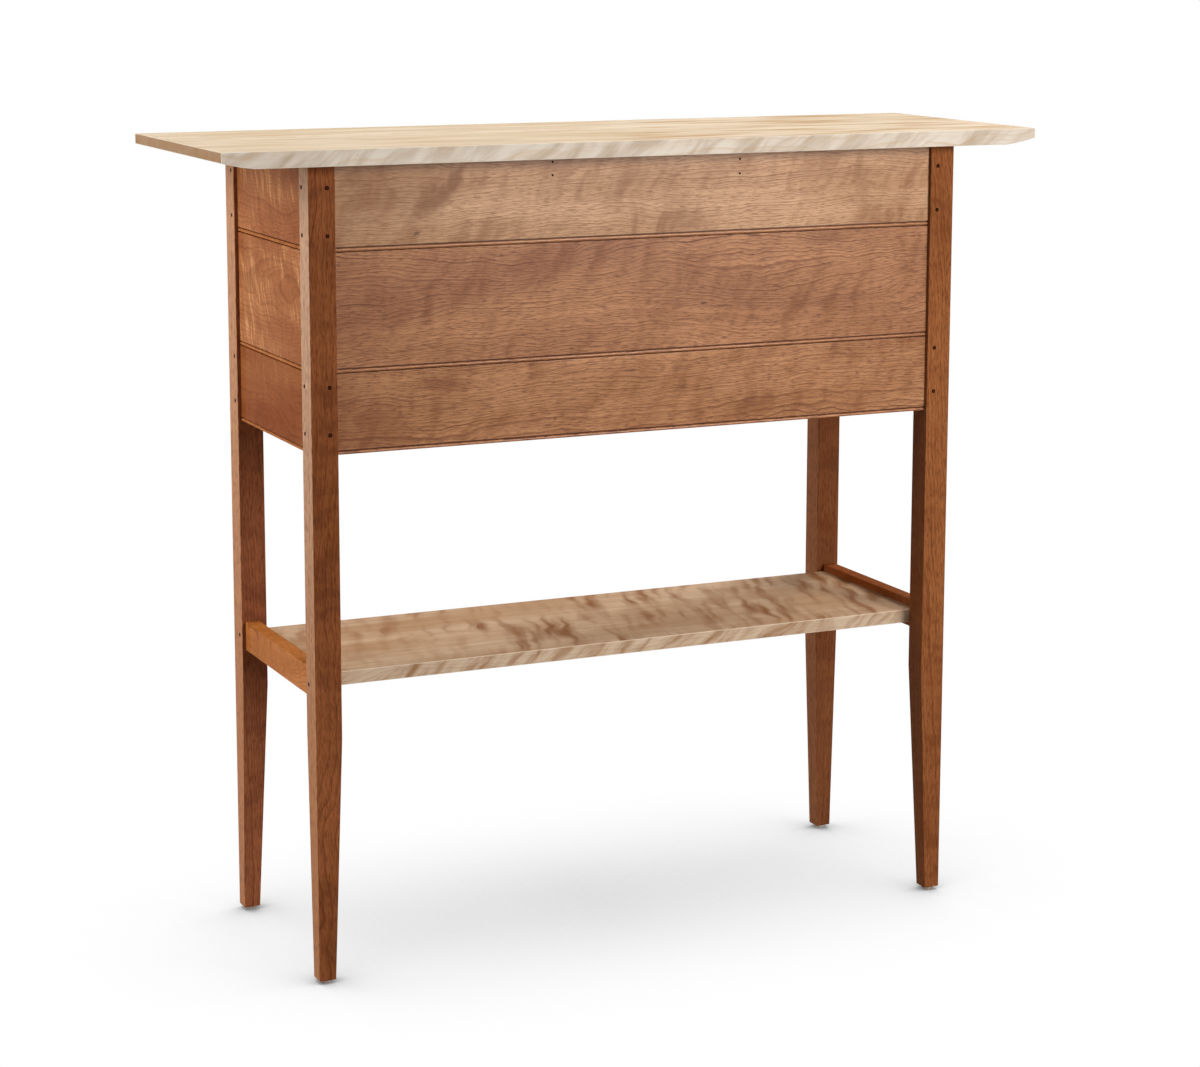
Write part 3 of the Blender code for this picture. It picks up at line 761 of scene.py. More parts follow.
CHERRY = RingWood(
    "oiled cherry", "#B48058", "#9F6C45", "#814E29", "#582706", "#381807", smoke="#6C3A16",
    line_share=0.95, fibre_share=0.7,
)
CHERRY_PALE = replace(
    CHERRY, pale="#C69C78", ground="#AE845F", cloud="#875936", late="#6C3C12", smoke="#70441F",
    line_share=0.8, fibre_share=0.6,
)
CHERRY_RED = replace(
    CHERRY, pale="#B27D56", ground="#9B6846", cloud="#7F4C29", growth=Growth(3.8, 75.0, 20.0), gum_share=0.03
)
CHERRY_SIDE = replace(
    CHERRY, pale="#A86C44", ground="#945833", cloud="#794320", bead="#A8683A", ripple_size=(12.0, 60.0),
    ripple_share=0.45, smoke_share=0.35, curl_share=0.75, line_share=0.5, fibre_share=0.35, sheen=0.008,
)
# A darker copy of the side cherry for the lower side boards; on the right stretcher it is painted shade.
CHERRY_SIDE_LOW = replace(CHERRY_SIDE, pale="#92562D", ground="#7F411C", cloud="#683213", curl_share=0.15)
CHERRY_STRETCHER = replace(CHERRY_SIDE, pale="#B8733D", ground="#A3622D", cloud="#874A22", curl_share=0.2)
CHERRY_LEG = replace(
    CHERRY, pale="#8E5432", ground="#7C4728", cloud="#62361E", late="#4A2010", line_share=0.65,
    fibre_share=0.6, sheen=0.008, ripple_lean=0.2, growth=Growth(slow=25.0, quick=8.0),
)
# Painted shade: the back right leg's sides that look along X are laid dark, as the case shades them.
CHERRY_RIGHT_LEG = replace(
    CHERRY_LEG, pale="#965D36", ground="#864F2C", cloud="#6E3D20", side="#70432A", painted_side_low="#704124",
    painted_side_share=0.8,
)
# Painted shade: a darker copy of the leg cherry for the front right leg, which the case and shelf shade. Painted
# light: its sides that look along X are laid lighter.
CHERRY_SHADED_LEG = replace(CHERRY_LEG, pale="#7E4C2E", ground="#6E4126", cloud="#5A331E", side="#9A6848", painted_side_low="#94603E",
    painted_side_share=0.8,
)
# Painted light: the back left leg's sides that look along X are laid lighter where the lamp on the left falls on them.
CHERRY_LEFT_LEG = replace(CHERRY_LEG, painted_side_share=0.85)
# Painted light: a lighter copy of the leg cherry for the front left leg, whose faces lie in the case's shade, with its
# sides that look along X laid lighter too.
CHERRY_LIT_FAR_LEG = replace(CHERRY_LEFT_LEG, pale="#955A3A", ground="#824B31", cloud="#6A3B27", side="#C4936E", painted_side_low="#B47A52")
MAPLE = RingWood(
    "sanded maple", "#E4CFAB", "#D8BE95", "#CBAC80", "#B28E62", "#8A6238",
    smoke="#C0A076", ripple_share=0.4, line_share=0.35, fibre_share=0.2, gum_share=0.005, roughness=0.5,
)
# The last colour of each birch is laid pale on the arrises as a painted highlight.
BIRCH_TOP = CurlyWood(
    "varnished curly birch", "#DDCDB6", "#D1BEA1", "#AE8452", "#BC966A", "#D5C9BA", "#A08970", "#7C5838",
    "#F2E6D6", flame_size=(130.0, 24.0), flame_lean=0.5, flame_trend=0.0007, flame_share=0.75, streak_share=0.45,
    stripe_size=(32.0, 70.0), stripe_share=0.65,
)
BIRCH_SHELF = CurlyWood(
    "varnished curly birch", "#C1A588", "#AB8969", "#7C4C28", "#9A7048",
    "#BEA78E", "#845833", "#A87B50",
    "#F4E4CE", flame_size=(20.0, 110.0), flame_lean=0.25, flame_swing=25.0, flame_share=0.95, stripe_size=(22.0, 60.0),
    stripe_share=0.85,
)


BACK_MARKS = (
    (
        Mark(Stain.SMOKE, (-263.0, 30.0), (30.0, 11.0), 50.0, 0.7),
        Mark(Stain.SMOKE, (-295.0, 4.0), (34.0, 15.0), 30.0, 0.65),
        Mark(Stain.GUM, (-314.0, -33.0), (8.0, 3.3), 30.0, 0.7),
        Mark(Stain.SMOKE, (-397.0, 39.0), (22.0, 14.0), 30.0, 0.45),
        Mark(Stain.SMOKE, (-92.0, 12.0), (18.0, 5.0), 70.0, 0.35),
        # Painted shade: a broad soft mark darkens the board's left end.
        Mark(Stain.SMOKE, (-420.0, 0.0), (190.0, 90.0), 0.0, 0.3),
    ),
    (
        Mark(Stain.GUM, (-364.0, -1.0), (4.5, 2.6), 0.0, 0.5),
        Mark(Stain.GUM, (-351.0, -22.0), (7.0, 2.0), 0.0, 0.5),
        Mark(Stain.GUM, (-200.0, 60.0), (3.6, 3.6), 0.0, 0.45),
        Mark(Stain.GUM, (110.0, -22.0), (19.0, 2.2), 0.0, 0.6),
        Mark(Stain.GUM, (194.0, -1.0), (12.0, 2.0), -20.0, 0.5),
        Mark(Stain.SMOKE, (271.0, 59.0), (34.0, 12.0), 0.0, 0.4),
        # Painted shade: a broad soft mark darkens the board's left end.
        Mark(Stain.SMOKE, (-430.0, 0.0), (170.0, 120.0), 0.0, 0.3),
    ),
    (
        Mark(Stain.SMOKE, (-286.0, 30.0), (42.0, 15.0), -5.0, 0.6),
        Mark(Stain.GUM, (-21.0, 28.0), (15.0, 2.0), 0.0, 0.6),
        Mark(Stain.GUM, (-127.0, -27.0), (3.6, 3.2), 40.0, 0.5),
        Mark(Stain.GUM, (316.0, 2.0), (3.2, 2.6), 0.0, 0.55),
        Mark(Stain.SMOKE, (281.0, 37.0), (18.0, 9.0), 60.0, 0.4),
        # Painted shade: a broad soft mark darkens the board's left end.
        Mark(Stain.SMOKE, (-430.0, 0.0), (190.0, 90.0), 0.0, 0.3),
    ),
)


def middle_of(node: str) -> Vector:
    """Return the middle of a CAD node's box."""
    low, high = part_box(node)
    return (low + high) / 2


def dress(node: str, material: bpy.types.Material) -> None:
    """Give a CAD node a material and report it."""
    for slot in frame["nodes"][node].material_slots:
        slot.material = material
    log.info("dressed %s in %s", node, material.name)


def grid_quads(rows: int, columns: int) -> np.ndarray:
    """Return the quads of a grid whose columns close into rings.

    Args:
        rows: how many rings there are.
        columns: how many points a ring has.

    Returns:
        Four point numbers for each quad.
    """
    ring = np.arange(columns)
    after = np.roll(ring, -1)
    start = np.arange(rows - 1)[:, None] * columns
    quads = np.stack((start + ring, start + after, start + columns + after, start + columns + ring), axis=-1)
    return quads.reshape(-1, 4)


def closed_shells(rings: np.ndarray) -> tuple[np.ndarray, list[list[int]]]:
    """Join stacks of rings into closed shells, with a many-sided cap on each stack's first and last ring.

    Args:
        rings: points by shell, ring, place on the ring, and coordinate.

    Returns:
        The points and the faces.
    """
    shells, rows, columns, _ = rings.shape
    faces: list[list[int]] = []
    for start in np.arange(shells) * rows * columns:
        cap = np.arange(columns)
        faces += (grid_quads(rows, columns) + start).tolist()
        faces.append((start + cap[::-1]).tolist())
        faces.append((start + (rows - 1) * columns + cap).tolist())
    return rings.reshape(-1, 3), faces


def make_piece(
    name: str, rings: np.ndarray, material: bpy.types.Material, body: str, **marks: np.ndarray
) -> Piece:
    """Make a piece of closed shells, shade it smooth but for its creases, and let it ride on a body.

    Args:
        name: the piece's name.
        rings: points by shell, ring, place on the ring, and coordinate.
        material: its material.
        body: the CAD body that it moves with.
        marks: numbers for each point that the material reads, by name.

    Returns:
        The piece.
    """
    points, faces = closed_shells(rings)
    mesh = bpy.data.meshes.new(name)
    mesh.from_pydata(points.tolist(), [], faces)
    for mark, values in marks.items():
        mesh.attributes.new(mark, "FLOAT", "POINT").data.foreach_set("value", values.ravel())
    shape = bmesh.new()
    shape.from_mesh(mesh)
    bmesh.ops.remove_doubles(shape, verts=shape.verts, dist=0.001 * MM)
    bmesh.ops.recalc_face_normals(shape, faces=shape.faces)
    shape.to_mesh(mesh)
    shape.free()
    mesh.shade_smooth()
    mesh.set_sharp_from_angle(angle=math.radians(CREASE))
    mesh.materials.append(material)
    piece = bpy.data.objects.new(name, mesh)
    bpy.context.scene.collection.objects.link(piece)
    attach(piece, body)
    log.info("built %s: %d points", name, len(mesh.vertices))
    return piece


def rounded_rings(low: np.ndarray, high: np.ndarray, radius: np.ndarray, steps: int) -> np.ndarray:
    """Return rounded rectangles: an arc of the given radius about each corner's centre.

    Args:
        low: the lowest corner of each rectangle.
        high: the highest corner of each rectangle.
        radius: the corner radius of each rectangle.
        steps: how many steps an arc has.

    Returns:
        Points by rectangle, place on its ring, and coordinate.
    """
    signs = np.array([(1, 1), (-1, 1), (-1, -1), (1, -1)])
    middle, half = (low + high) / 2, (high - low) / 2
    centres = middle[:, None] + signs * (half - radius[:, None])[:, None]
    angles = np.pi / 2 * (np.arange(4)[:, None] + np.linspace(0.0, 1.0, steps + 1))
    arcs = np.stack((np.cos(angles), np.sin(angles)), axis=-1)
    rings = centres[:, :, None] + radius[:, None, None, None] * arcs
    return rings.reshape(len(low), -1, 2)


def eased_slab(
    low: Vector, high: Vector, lift: np.ndarray, along: np.ndarray, arris: float
) -> tuple[np.ndarray, np.ndarray]:
    """Return a slab along X whose every arris is a quarter round.

    Its section is a rounded rectangle. Within one radius of an end the section draws in by
    r - sqrt(r^2 - (r - distance)^2), which rounds the end's arrises too, and the underside may be lifted.
    The arris mark, for wearing and for the painted highlight, is 1 in the rounds and 0 where they meet the flats and
    the ends.

    Args:
        low: the slab's lowest corner.
        high: the slab's highest corner.
        lift: how far the underside is lifted at each place.
        along: the places along X, from one end to the other.
        arris: the radius r.

    Returns:
        One shell of rings, and the arris mark, for wearing and for the painted highlight, at each of its points.
    """
    steps = 4
    distance = np.minimum(along - low.x, high.x - along)
    short = np.clip(arris - distance, 0.0, arris)
    inset = arris - np.sqrt(np.maximum(arris ** 2 - short ** 2, 0.0))
    lows = np.stack((low.y + inset, low.z + lift + inset), axis=-1)
    highs = np.stack((high.y - inset, high.z - inset), axis=-1)
    section = rounded_rings(lows, highs, np.maximum(arris - inset, 0.02 * arris), steps)
    places = np.broadcast_to(along[:, None, None], (*section.shape[:2], 1))
    round_wear = np.tile(np.sin(np.linspace(0.0, np.pi, steps + 1)), 4)
    end_wear = np.where(short < arris, np.sin(np.pi * short / arris), 0.0)
    wear = np.where(short[:, None] < arris, np.maximum(end_wear[:, None], round_wear[None]), 0.0)
    return np.concatenate((places, section), axis=-1)[None], wear[None]


def end_places(low: float, high: float, arris: float, run: float, steps: int) -> np.ndarray:
    """Return places along a slab: close together in the arris and the run at each end.

    Args:
        low: where the slab starts.
        high: where it ends.
        arris: the radius of the end's arris.
        run: the length at each end that is shaped.
        steps: how many steps the run has.

    Returns:
        The places in rising order.
    """
    arc = arris * (1 - np.cos(np.linspace(0.0, np.pi / 2, 5)))
    start = np.concatenate((arc, np.linspace(arris, run, steps + 1)[1:]))
    return np.concatenate((low + start, (high - start)[::-1]))


def turned_rings(profile: np.ndarray, centres: np.ndarray, directions: np.ndarray, steps: int) -> np.ndarray:
    """Return turned shapes: each profile point is a circle of its radius at its height along the axis.

    Args:
        profile: radius and height of each ring.
        centres: where each shape's axis starts.
        directions: each axis's direction, of length one.
        steps: how many points a circle has.

    Returns:
        Points by shape, ring, place on the ring, and coordinate.
    """
    side = np.cross(directions, np.roll(directions, 1, axis=1))
    other = np.cross(directions, side)
    angles = np.linspace(0.0, 2 * np.pi, steps, endpoint=False)
    spokes = np.cos(angles)[None, :, None] * side[:, None] + np.sin(angles)[None, :, None] * other[:, None]
    out = profile[None, :, 0, None, None] * spokes[:, None]
    rise = profile[None, :, 1, None, None] * directions[:, None, None]
    return centres[:, None, None] + out + rise


@dataclass
class TopAndShelf:
    """The top, bevelled under its ends, and the shelf between the legs, both of curly birch.

    Attributes:
        arris: radius of the hand-eased arrises.
        end_thickness: thickness of the top at its ends.
        bevel_run: length of the bevel under each end.
        bevel_power: how the bevel's curve starts; 1 is straight.
    """

    arris: float = 0.0011
    end_thickness: float = 0.013
    bevel_run: float = 0.046
    bevel_power: float = 1.5

    def build(self) -> None:
        """Make the top and the shelf in place of their plain solids."""
        self.build_top()
        self.build_shelf()

    def build_top(self) -> None:
        """Make the top; its underside rises by a power of the way through the bevel to the end."""
        low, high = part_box("top")
        along = end_places(low.x, high.x, self.arris, self.bevel_run, 20)
        into = 1 - np.minimum(along - low.x, high.x - along) / self.bevel_run
        rise = (high.z - low.z - self.end_thickness) * np.clip(into, 0.0, 1.0) ** self.bevel_power
        stock = Stock(middle_of("top"), Grain.ALONG_X, (30.0, -160.0), (0.6, 2.0), 2.0)
        rings, wear = eased_slab(low, high, rise, along, self.arris)
        top = make_piece("board_top", rings, BIRCH_TOP.material("top", stock), CASE, wear=wear)
        top.modifiers.new("flat faces", "WEIGHTED_NORMAL").keep_sharp = True
        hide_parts("top")

    def build_shelf(self) -> None:
        """Make the shelf, whose ends sit in the stretchers' housings."""
        low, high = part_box("shelf")
        along = end_places(low.x, high.x, self.arris, 2 * self.arris, 1)
        stock = Stock(middle_of("shelf"), Grain.ALONG_X, (-20.0, -140.0), (0.5, 0.3), 7.0)
        rings, wear = eased_slab(low, high, np.zeros_like(along), along, self.arris)
        shelf = make_piece("board_shelf", rings, BIRCH_SHELF.material("shelf", stock), CASE, wear=wear)
        shelf.modifiers.new("flat faces", "WEIGHTED_NORMAL").keep_sharp = True
        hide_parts("shelf")


@dataclass
class Wall:
    """One wall of the case: three tongued, grooved and beaded boards.

    Attributes:
        name: back, left or right.
        grain: which way its boards run.
        woods: the cherry of the upper, middle and lower board.
        hearts: where each board's heart lies, mm through the thickness and up the board.
        leans: how each board leans, degrees.
        seed: the first board's log.
        marks: the stains on each board.
    """

    name: str
    grain: Grain
    woods: tuple[RingWood, RingWood, RingWood]
    hearts: tuple[tuple[float, float], ...]
    leans: tuple[tuple[float, float], ...]
    seed: float
    marks: tuple[tuple[Mark, ...], ...] = ((), (), ())

    def dress(self) -> None:
        """Give each board wood from its own log."""
        courses = zip(("upper", "middle", "lower"), self.woods, self.hearts, self.leans, self.marks)
        for number, (course, wood, heart, lean, marks) in enumerate(courses):
            node = f"{self.name}_board_{course}"
            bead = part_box(node)[0].z
            stock = Stock(middle_of(node), self.grain, heart, lean, self.seed + 10 * number, bead, marks)
            dress(node, wood.material(node, stock))


@dataclass
class Brads:
    """Four fine brads through the upper back board into the bearers behind it.

    Attributes:
        places: place along X and depth under the legs' top of each brad.
        radius: radius of the filled hole.
        proud: how far the filling stands out.
    """

    places: tuple[tuple[float, float], ...] = (
        (-0.130, 0.0048), (-0.130, 0.0216), (0.136, 0.0091), (0.136, 0.0279),
    )
    radius: float = 0.0015
    proud: float = 0.0001

    def build(self) -> None:
        """Make the fillings as flat round caps on the board's face."""
        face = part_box("back_board_upper")[0].y
        leg_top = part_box("leg_back_left")[1].z
        centres = np.array([(x, face, leg_top - drop) for x, drop in self.places])
        outward = np.broadcast_to((0.0, -1.0, 0.0), centres.shape)
        profile = cap_profile(self.radius, self.proud)
        rings = turned_rings(profile, centres, outward, 12)
        filling = PegWood(heart="#0C0503", rim="#050201").material("brads")
        make_piece("brads_back", rings, filling, CASE, rim=rim_marks(profile, rings))


def cap_profile(radius: float, proud: float) -> np.ndarray:
    """Return the profile of a flat cap: it starts a little under the face, and a quarter round eases its rim.

    Args:
        radius: the cap's radius.
        proud: how far it stands out of the face.

    Returns:
        Radius and height of each ring.
    """
    turn = np.linspace(0.0, np.pi / 2, 4)
    rim = np.stack((radius - proud * (1 - np.cos(turn)), proud * np.sin(turn)), axis=-1)
    foot = np.array([(radius, -proud)])
    crown = np.array([(radius * share, proud) for share in (0.75, 0.5, 0.25, 0.08)])
    return np.concatenate((foot, rim, crown))


def rim_marks(profile: np.ndarray, rings: np.ndarray) -> np.ndarray:
    """Return how near the rim each point of turned caps is: its radius as a share of the largest."""
    share = profile[:, 0] / profile[:, 0].max()
    return np.broadcast_to(share[None, :, None], rings.shape[:3])


@dataclass
class Legs:
    """Four cherry legs with their pegs and glides.

    Attributes:
        peg_radius: radius of a peg.
        peg_proud: how far a peg stands out.
        peg_inset: distance of a peg from the leg's inner edge.
        board_drops: depth of the boards' pegs under the legs' top.
        woods: the cherry of each leg, as lighter and darker copies that carry painted light and shade.
        hearts: where each leg's heart lies, mm.
        leans: how each leg leans, degrees.
    """

    peg_radius: float = 0.0027
    peg_proud: float = 0.0003
    peg_inset: float = 0.0105
    board_drops: tuple[float, ...] = (0.027, 0.086, 0.2735, 0.333)
    woods: tuple[RingWood, ...] = (CHERRY_LEFT_LEG, CHERRY_RIGHT_LEG, CHERRY_LIT_FAR_LEG, CHERRY_SHADED_LEG)
    hearts: tuple[tuple[float, float], ...] = ((70.0, 40.0), (45.0, 60.0), (-60.0, 50.0), (-50.0, 55.0))
    leans: tuple[tuple[float, float], ...] = ((1.2, 1.6), (1.0, -2.4), (1.5, 1.0), (-1.0, 1.5))

    def build(self) -> None:
        """Dress the legs, and make their pegs and glides."""
        plastic = GlidePlastic().material()
        for number, corner in enumerate(Corner):
            node = f"leg_{corner.name}"
            stock = Stock(
                middle_of(node), Grain.ALONG_Z, self.hearts[number], self.leans[number], 40.0 + number
            )
            wood = self.woods[number]
            dress(node, wood.material(node, stock))
            self.build_pegs(corner)
            self.build_glide(corner, plastic)

    def peg_spots(self, corner: Corner) -> tuple[np.ndarray, np.ndarray]:
        """Work out where a leg's pegs are.

        Args:
            corner: which leg.

        Returns:
            The pegs' centres on the leg's faces, and the faces' directions.
        """
        low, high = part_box(f"leg_{corner.name}")
        side_x, side_y = corner.value
        outer = Vector((high.x if side_x > 0 else low.x, high.y if side_y > 0 else low.y, high.z))
        size = high.x - low.x
        across = size - self.peg_inset
        heights = [high.z - drop for drop in self.board_drops]
        stretcher = middle_of("stretcher_right" if side_x > 0 else "stretcher_left").z
        rails = [middle_of("front_rail_top").z, middle_of("front_rail_bottom").z]
        on_end = [(outer.x, outer.y - side_y * across, z) for z in heights + [stretcher]]
        on_face = [(outer.x - side_x * across, outer.y, z) for z in (rails if side_y > 0 else heights)]
        directions = [(side_x, 0.0, 0.0)] * len(on_end) + [(0.0, side_y, 0.0)] * len(on_face)
        return np.array(on_end + on_face), np.array(directions, float)

    def build_pegs(self, corner: Corner) -> None:
        """Make a leg's pegs as slightly proud caps."""
        centres, directions = self.peg_spots(corner)
        profile = cap_profile(self.peg_radius, self.peg_proud)
        rings = turned_rings(profile, centres, directions, 24)
        wood = PegWood().material(corner.name)
        make_piece(f"pegs_{corner.name}", rings, wood, CASE, rim=rim_marks(profile, rings))

    def build_glide(self, corner: Corner, plastic: bpy.types.Material) -> None:
        """Make a glide: a turned pad with a rounded lower rim, a shallow foot and a waist under the leg."""
        node = f"glide_{corner.name}"
        low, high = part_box(node)
        radius, tall = (high.x - low.x) / 2, high.z - low.z
        turn = np.linspace(-np.pi / 2, 0.0, 6)
        rim = 0.3 * tall
        lower = np.stack((radius - rim + rim * np.cos(turn), rim + rim * np.sin(turn)), axis=-1)
        ends = np.array([(0.3 * radius, 0.0)]), np.array([(radius, 0.8 * tall), (0.94 * radius, tall)])
        profile = np.concatenate((ends[0], lower, ends[1]))
        centre = np.array([((low.x + high.x) / 2, (low.y + high.y) / 2, low.z)])
        rings = turned_rings(profile, centre, np.array([(0.0, 0.0, 1.0)]), 40)
        glide = make_piece(f"pad_{corner.name}", rings, plastic, CASE)
        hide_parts(node)


@dataclass
class Frame:
    """Stretchers, front rails, dividers and the bearers that the drawers run on.

    Attributes:
        bearers: the kinds of bearer.
        bays: where each kind stands.
    """

    bearers: tuple[str, ...] = ("runner", "kicker", "guide")
    bays: tuple[str, ...] = ("end_left", "left", "right", "end_right")

    def dress(self) -> None:
        """Give the frame's pieces cherry and the bearers maple, each from its own log."""
        turned = CHERRY
        groups: list[tuple[str, Grain, RingWood]] = []
        groups += [("stretcher_left", Grain.ALONG_Y, CHERRY_STRETCHER)]
        # Painted shade: the right stretcher takes the darker lower-side cherry, as it stands in shade.
        groups += [("stretcher_right", Grain.ALONG_Y, CHERRY_SIDE_LOW)]
        groups += [(f"front_rail_{place}", Grain.ALONG_X, turned) for place in ("top", "bottom")]
        groups += [(f"divider_{side}", Grain.ALONG_Z, turned) for side in ("left", "right")]
        groups += [(f"{kind}_{bay}", Grain.ALONG_Y, MAPLE) for kind in self.bearers for bay in self.bays]
        for number, (node, grain, wood) in enumerate(groups):
            stock = Stock(middle_of(node), grain, (45.0, 30.0 + 3 * number), (0.8, 0.5), 60.0 + number)
            dress(node, wood.material(node, stock))


@dataclass
class Drawer:
    """One drawer: a cherry front with a turned knob, on a dovetailed maple box.

    Attributes:
        name: which drawer.
        seed: its front's log.
        heart: where the front's heart lies, mm.
        neck_radius: radius of the knob's neck.
        neck_length: length of the neck.
        tenon_radius: radius of the knob's tenon.
        tenon_length: length of the tenon.
        crown: how far the knob's face is domed.
    """

    name: str
    seed: float
    heart: tuple[float, float]
    neck_radius: float = 0.0075
    neck_length: float = 0.008
    tenon_radius: float = 0.005
    tenon_length: float = 0.013
    crown: float = 0.004

    def build(self) -> None:
        """Dress the box and turn the knob."""
        front = f"{self.name}_front"
        stock = Stock(middle_of(front), Grain.ALONG_X, self.heart, (0.7, 1.0), self.seed)
        dress(front, CHERRY.material(front, stock))
        box = (
            ("side_left", Grain.ALONG_Y), ("side_right", Grain.ALONG_Y), ("back", Grain.ALONG_X),
            ("bottom", Grain.ALONG_X), ("stop", Grain.ALONG_X),
        )
        for number, (part, grain) in enumerate(box, start=1):
            node = f"{self.name}_{part}"
            stock = Stock(middle_of(node), grain, (70.0, 25.0 * number), (0.5, 0.5), self.seed + number)
            dress(node, MAPLE.material(node, stock))
        self.build_knob()

    def build_knob(self) -> None:
        """Turn the knob: a tenon, a neck that flares in a cove, and a round head with a domed face."""
        node = f"{self.name}_knob"
        low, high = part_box(node)
        radius = (high.x - low.x) / 2
        reach = high.y - low.y - self.tenon_length
        turn = np.linspace(0.0, np.pi / 2, 9)
        flare = radius - self.neck_radius
        edge = (reach - self.neck_length - self.crown) / 2
        tenon = np.array([(self.tenon_radius * 0.6, -self.tenon_length), (self.tenon_radius, 0.0005 - self.tenon_length)])
        seat = np.array([(self.tenon_radius, 0.0), (self.neck_radius * 1.12, 0.0), (self.neck_radius, 0.0012)])
        cove = np.stack(
            (radius - edge - (flare - edge) * np.cos(turn), self.neck_length * (0.4 + 0.6 * np.sin(turn))), axis=-1
        )
        swell = np.linspace(-np.pi / 2, np.pi / 2, 13)
        round_edge = np.stack(
            (radius - edge + edge * np.cos(swell), self.neck_length + edge + edge * np.sin(swell)), axis=-1
        )
        out = np.linspace(1.0, 0.04, 10)
        dome = np.stack(((radius - edge) * out, reach - self.crown * out ** 2), axis=-1)
        profile = np.concatenate((tenon, seat, cove, round_edge[1:-1], dome))
        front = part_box(f"{self.name}_front")[1].y
        centre = np.array([((low.x + high.x) / 2, front, (low.z + high.z) / 2)])
        rings = turned_rings(profile, centre, np.array([(0.0, 1.0, 0.0)]), 56)
        stock = Stock(Vector(centre[0]), Grain.ALONG_Y, (9.0, 14.0), (2.0, 2.0), self.seed + 6)
        knob = make_piece(f"{self.name}_turned_knob", rings, CHERRY.material(node, stock), self.name)
        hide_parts(node)


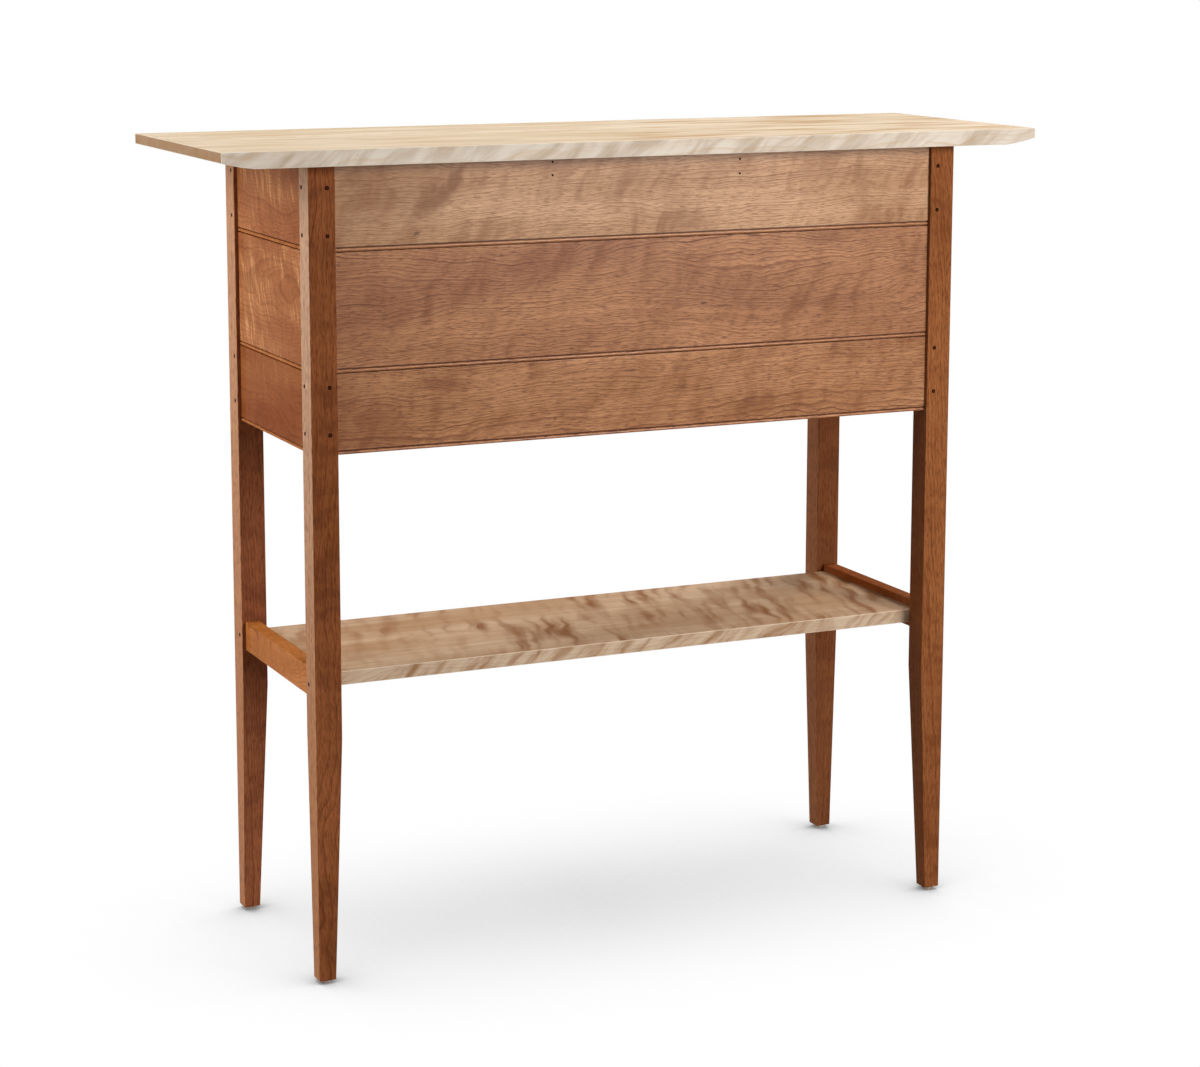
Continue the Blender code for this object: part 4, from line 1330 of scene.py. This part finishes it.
@dataclass
class Studio:
    """A pale floor, soft lamps, a white surround and the camera.

    Attributes:
        floor_reach: half the floor's length.
        shade_reach: how far over the floor the painted shadow reaches, as the occlusion distance.
        shade_depth: how bright the floor's painted shadow is where the object hides most of the light.
        azimuth: the camera's bearing, degrees; 0 looks along +Y.
        pitch: how far it looks down, degrees.
        roll: how far it is rolled, degrees.
        distance: from the aim to the camera.
        aim: the point that it looks at, right of the middle and over the floor.
        focal: focal length in photograph pixels.
        shift: how far the lens is shifted down, as a share of the photograph's width.
        sensor: sensor width, mm.
    """

    floor_reach: float = 12.0
    shade_reach: float = 0.6
    shade_depth: float = 0.25
    azimuth: float = -24.62
    pitch: float = 9.38
    roll: float = 0.081
    distance: float = 3.8903
    aim: tuple[float, float] = (0.0098, 0.6819)
    focal: float = 2879.0
    shift: float = 0.10
    sensor: float = 36.0

    def build(self) -> None:
        """Set the floor, the surround, the lamps and the camera."""
        self.build_floor()
        self.build_surround()
        self.build_lamps()
        self.build_camera()
        bpy.context.scene.view_settings.view_transform = "Standard"

    def build_floor(self) -> None:
        """Lay a white floor with a painted shadow near the object, an emission dimmed by ambient occlusion, and plain
        white further off.
        """
        reach = self.floor_reach
        mesh = bpy.data.meshes.new("floor")
        mesh.from_pydata([(-reach, -reach, 0), (reach, -reach, 0), (reach, reach, 0), (-reach, reach, 0)], [], [(0, 1, 2, 3)])
        floor = bpy.data.objects.new("floor", mesh)
        bpy.context.scene.collection.objects.link(floor)
        material, tree = new_material("matt white paper floor")
        coordinates = add_node(tree, "ShaderNodeTexCoord", output=3)
        away = add_node(tree, "ShaderNodeVectorMath", {0: coordinates}, 1, operation="LENGTH")
        # Painted shadow: the floor's emission is dimmed where the object hides the sky from it.
        open_sky = add_node(tree, "ShaderNodeAmbientOcclusion", {"Distance": self.shade_reach}, 1, samples=32)
        bright = eased(tree, open_sky, 0.28, 0.95, self.shade_depth, 1.0)
        far = eased(tree, away, 0.5, 0.95)
        bright = add_node(tree, "ShaderNodeMath", {0: bright, 1: far}, operation="MAXIMUM")
        paper = add_node(tree, "ShaderNodeBsdfDiffuse", {"Color": linear("#C4C4C4")})
        white = add_node(tree, "ShaderNodeEmission", {"Strength": bright})
        close_surface(tree, add_node(tree, "ShaderNodeMixShader", {0: seen_rays(tree), 1: paper, 2: white}))
        mesh.materials.append(material)

    def build_surround(self) -> None:
        """Surround the object with soft light that looks white to the camera."""
        world = bpy.data.worlds.new("white surround")
        bpy.context.scene.world = world
        world.use_nodes = True
        tree = world.node_tree
        tree.nodes.clear()
        seen = seen_rays(tree)
        strength = eased(tree, seen, 0.0, 1.0, 0.18, 1.0)
        light = add_node(tree, "ShaderNodeBackground", {"Color": (1.0, 1.0, 1.0, 1.0), "Strength": strength})
        add_node(tree, "ShaderNodeOutputWorld", {"Surface": light})

    def build_lamps(self) -> None:
        """Hang soft boxes high on the left, overhead and behind, and a tall one right of the camera."""
        lamps = (
            ("left", (-3.0, 0.5, 1.9), (0.0, 0.0, 0.6), (2.6, 2.2), 180.0, 98.0),
            ("overhead", (-0.1, 0.1, 2.9), (0.0, 0.0, 0.0), (1.8, 1.8), 180.0, 11.0),
            ("front", (1.45, -3.15, 1.85), (0.1, 0.0, 0.64), (1.1, 2.1), 65.0, 19.6),
            ("back", (2.9, 1.8, 2.7), (0.0, 0.0, 0.6), (1.8, 1.5), 180.0, 104.0),
        )
        for name, place, aim, size, spread, power in lamps:
            lamp = bpy.data.lights.new(f"softbox_{name}", "AREA")
            lamp.shape = "RECTANGLE"
            lamp.size, lamp.size_y = size
            lamp.spread = math.radians(spread)
            lamp.energy = power
            holder = bpy.data.objects.new(f"softbox_{name}", lamp)
            holder.location = place
            holder.rotation_euler = (Vector(aim) - Vector(place)).to_track_quat("-Z", "Y").to_euler()
            bpy.context.scene.collection.objects.link(holder)

    def build_camera(self) -> None:
        """Set the camera by its bearing, pitch and roll about the aim."""
        turn, tilt, roll = (math.radians(angle) for angle in (self.azimuth, self.pitch, self.roll))
        level = Vector((math.cos(turn), math.sin(turn), 0.0))
        back = Vector((math.sin(turn) * math.cos(tilt), -math.cos(turn) * math.cos(tilt), math.sin(tilt)))
        upright = back.cross(level)
        right = level * math.cos(roll) + upright * math.sin(roll)
        up = upright * math.cos(roll) - level * math.sin(roll)
        lens = bpy.data.cameras.new("camera")
        lens.sensor_width = self.sensor
        lens.lens = self.focal / PHOTO_WIDTH * self.sensor
        lens.shift_y = -self.shift
        camera = bpy.data.objects.new("camera", lens)
        place = level * self.aim[0] + Vector((0.0, 0.0, self.aim[1])) + back * self.distance
        camera.matrix_world = Matrix((right, up, back)).transposed().to_4x4()
        camera.location = place
        bpy.context.scene.collection.objects.link(camera)
        bpy.context.scene.camera = camera


def seen_rays(tree: Tree) -> Socket:
    """Return 1 for rays from the camera, also by way of a mirror or glass, and 0 for the light's own rays."""
    direct, mirrored, through = (
        add_node(tree, "ShaderNodeLightPath", output=number) for number in (0, 3, 6)
    )
    either = add_node(tree, "ShaderNodeMath", {0: direct, 1: mirrored}, operation="MAXIMUM")
    return add_node(tree, "ShaderNodeMath", {0: either, 1: through}, operation="MAXIMUM")


def main() -> None:
    """Build and dress the sideboard's parts in order, then set the studio."""
    TopAndShelf().build()
    Wall(
        "back", Grain.ALONG_X, (CHERRY_PALE, CHERRY_RED, CHERRY),
        ((40.0, -120.0), (30.0, -170.0), (45.0, -80.0)), ((0.3, 0.5), (0.4, 0.6), (0.5, 0.4)), 11.0, BACK_MARKS,
    ).dress()
    Brads().build()
    for name, seed in (("left", 101.0), ("right", 151.0)):
        Wall(
            name, Grain.ALONG_Y, (CHERRY_SIDE, CHERRY_SIDE, CHERRY_SIDE_LOW),
            ((60.0, -60.0), (80.0, 20.0), (60.0, -45.0)), ((1.0, 0.5), (1.2, 0.8), (0.8, 0.4)), seed,
        ).dress()
    Legs().build()
    Frame().dress()
    for number, name in enumerate(("drawer_left", "drawer_middle", "drawer_right")):
        Drawer(name, 200.0 + 10 * number, (60.0, -150.0 - 30.0 * number)).build()
    Studio().build()


if __name__ == "__main__":
    main()
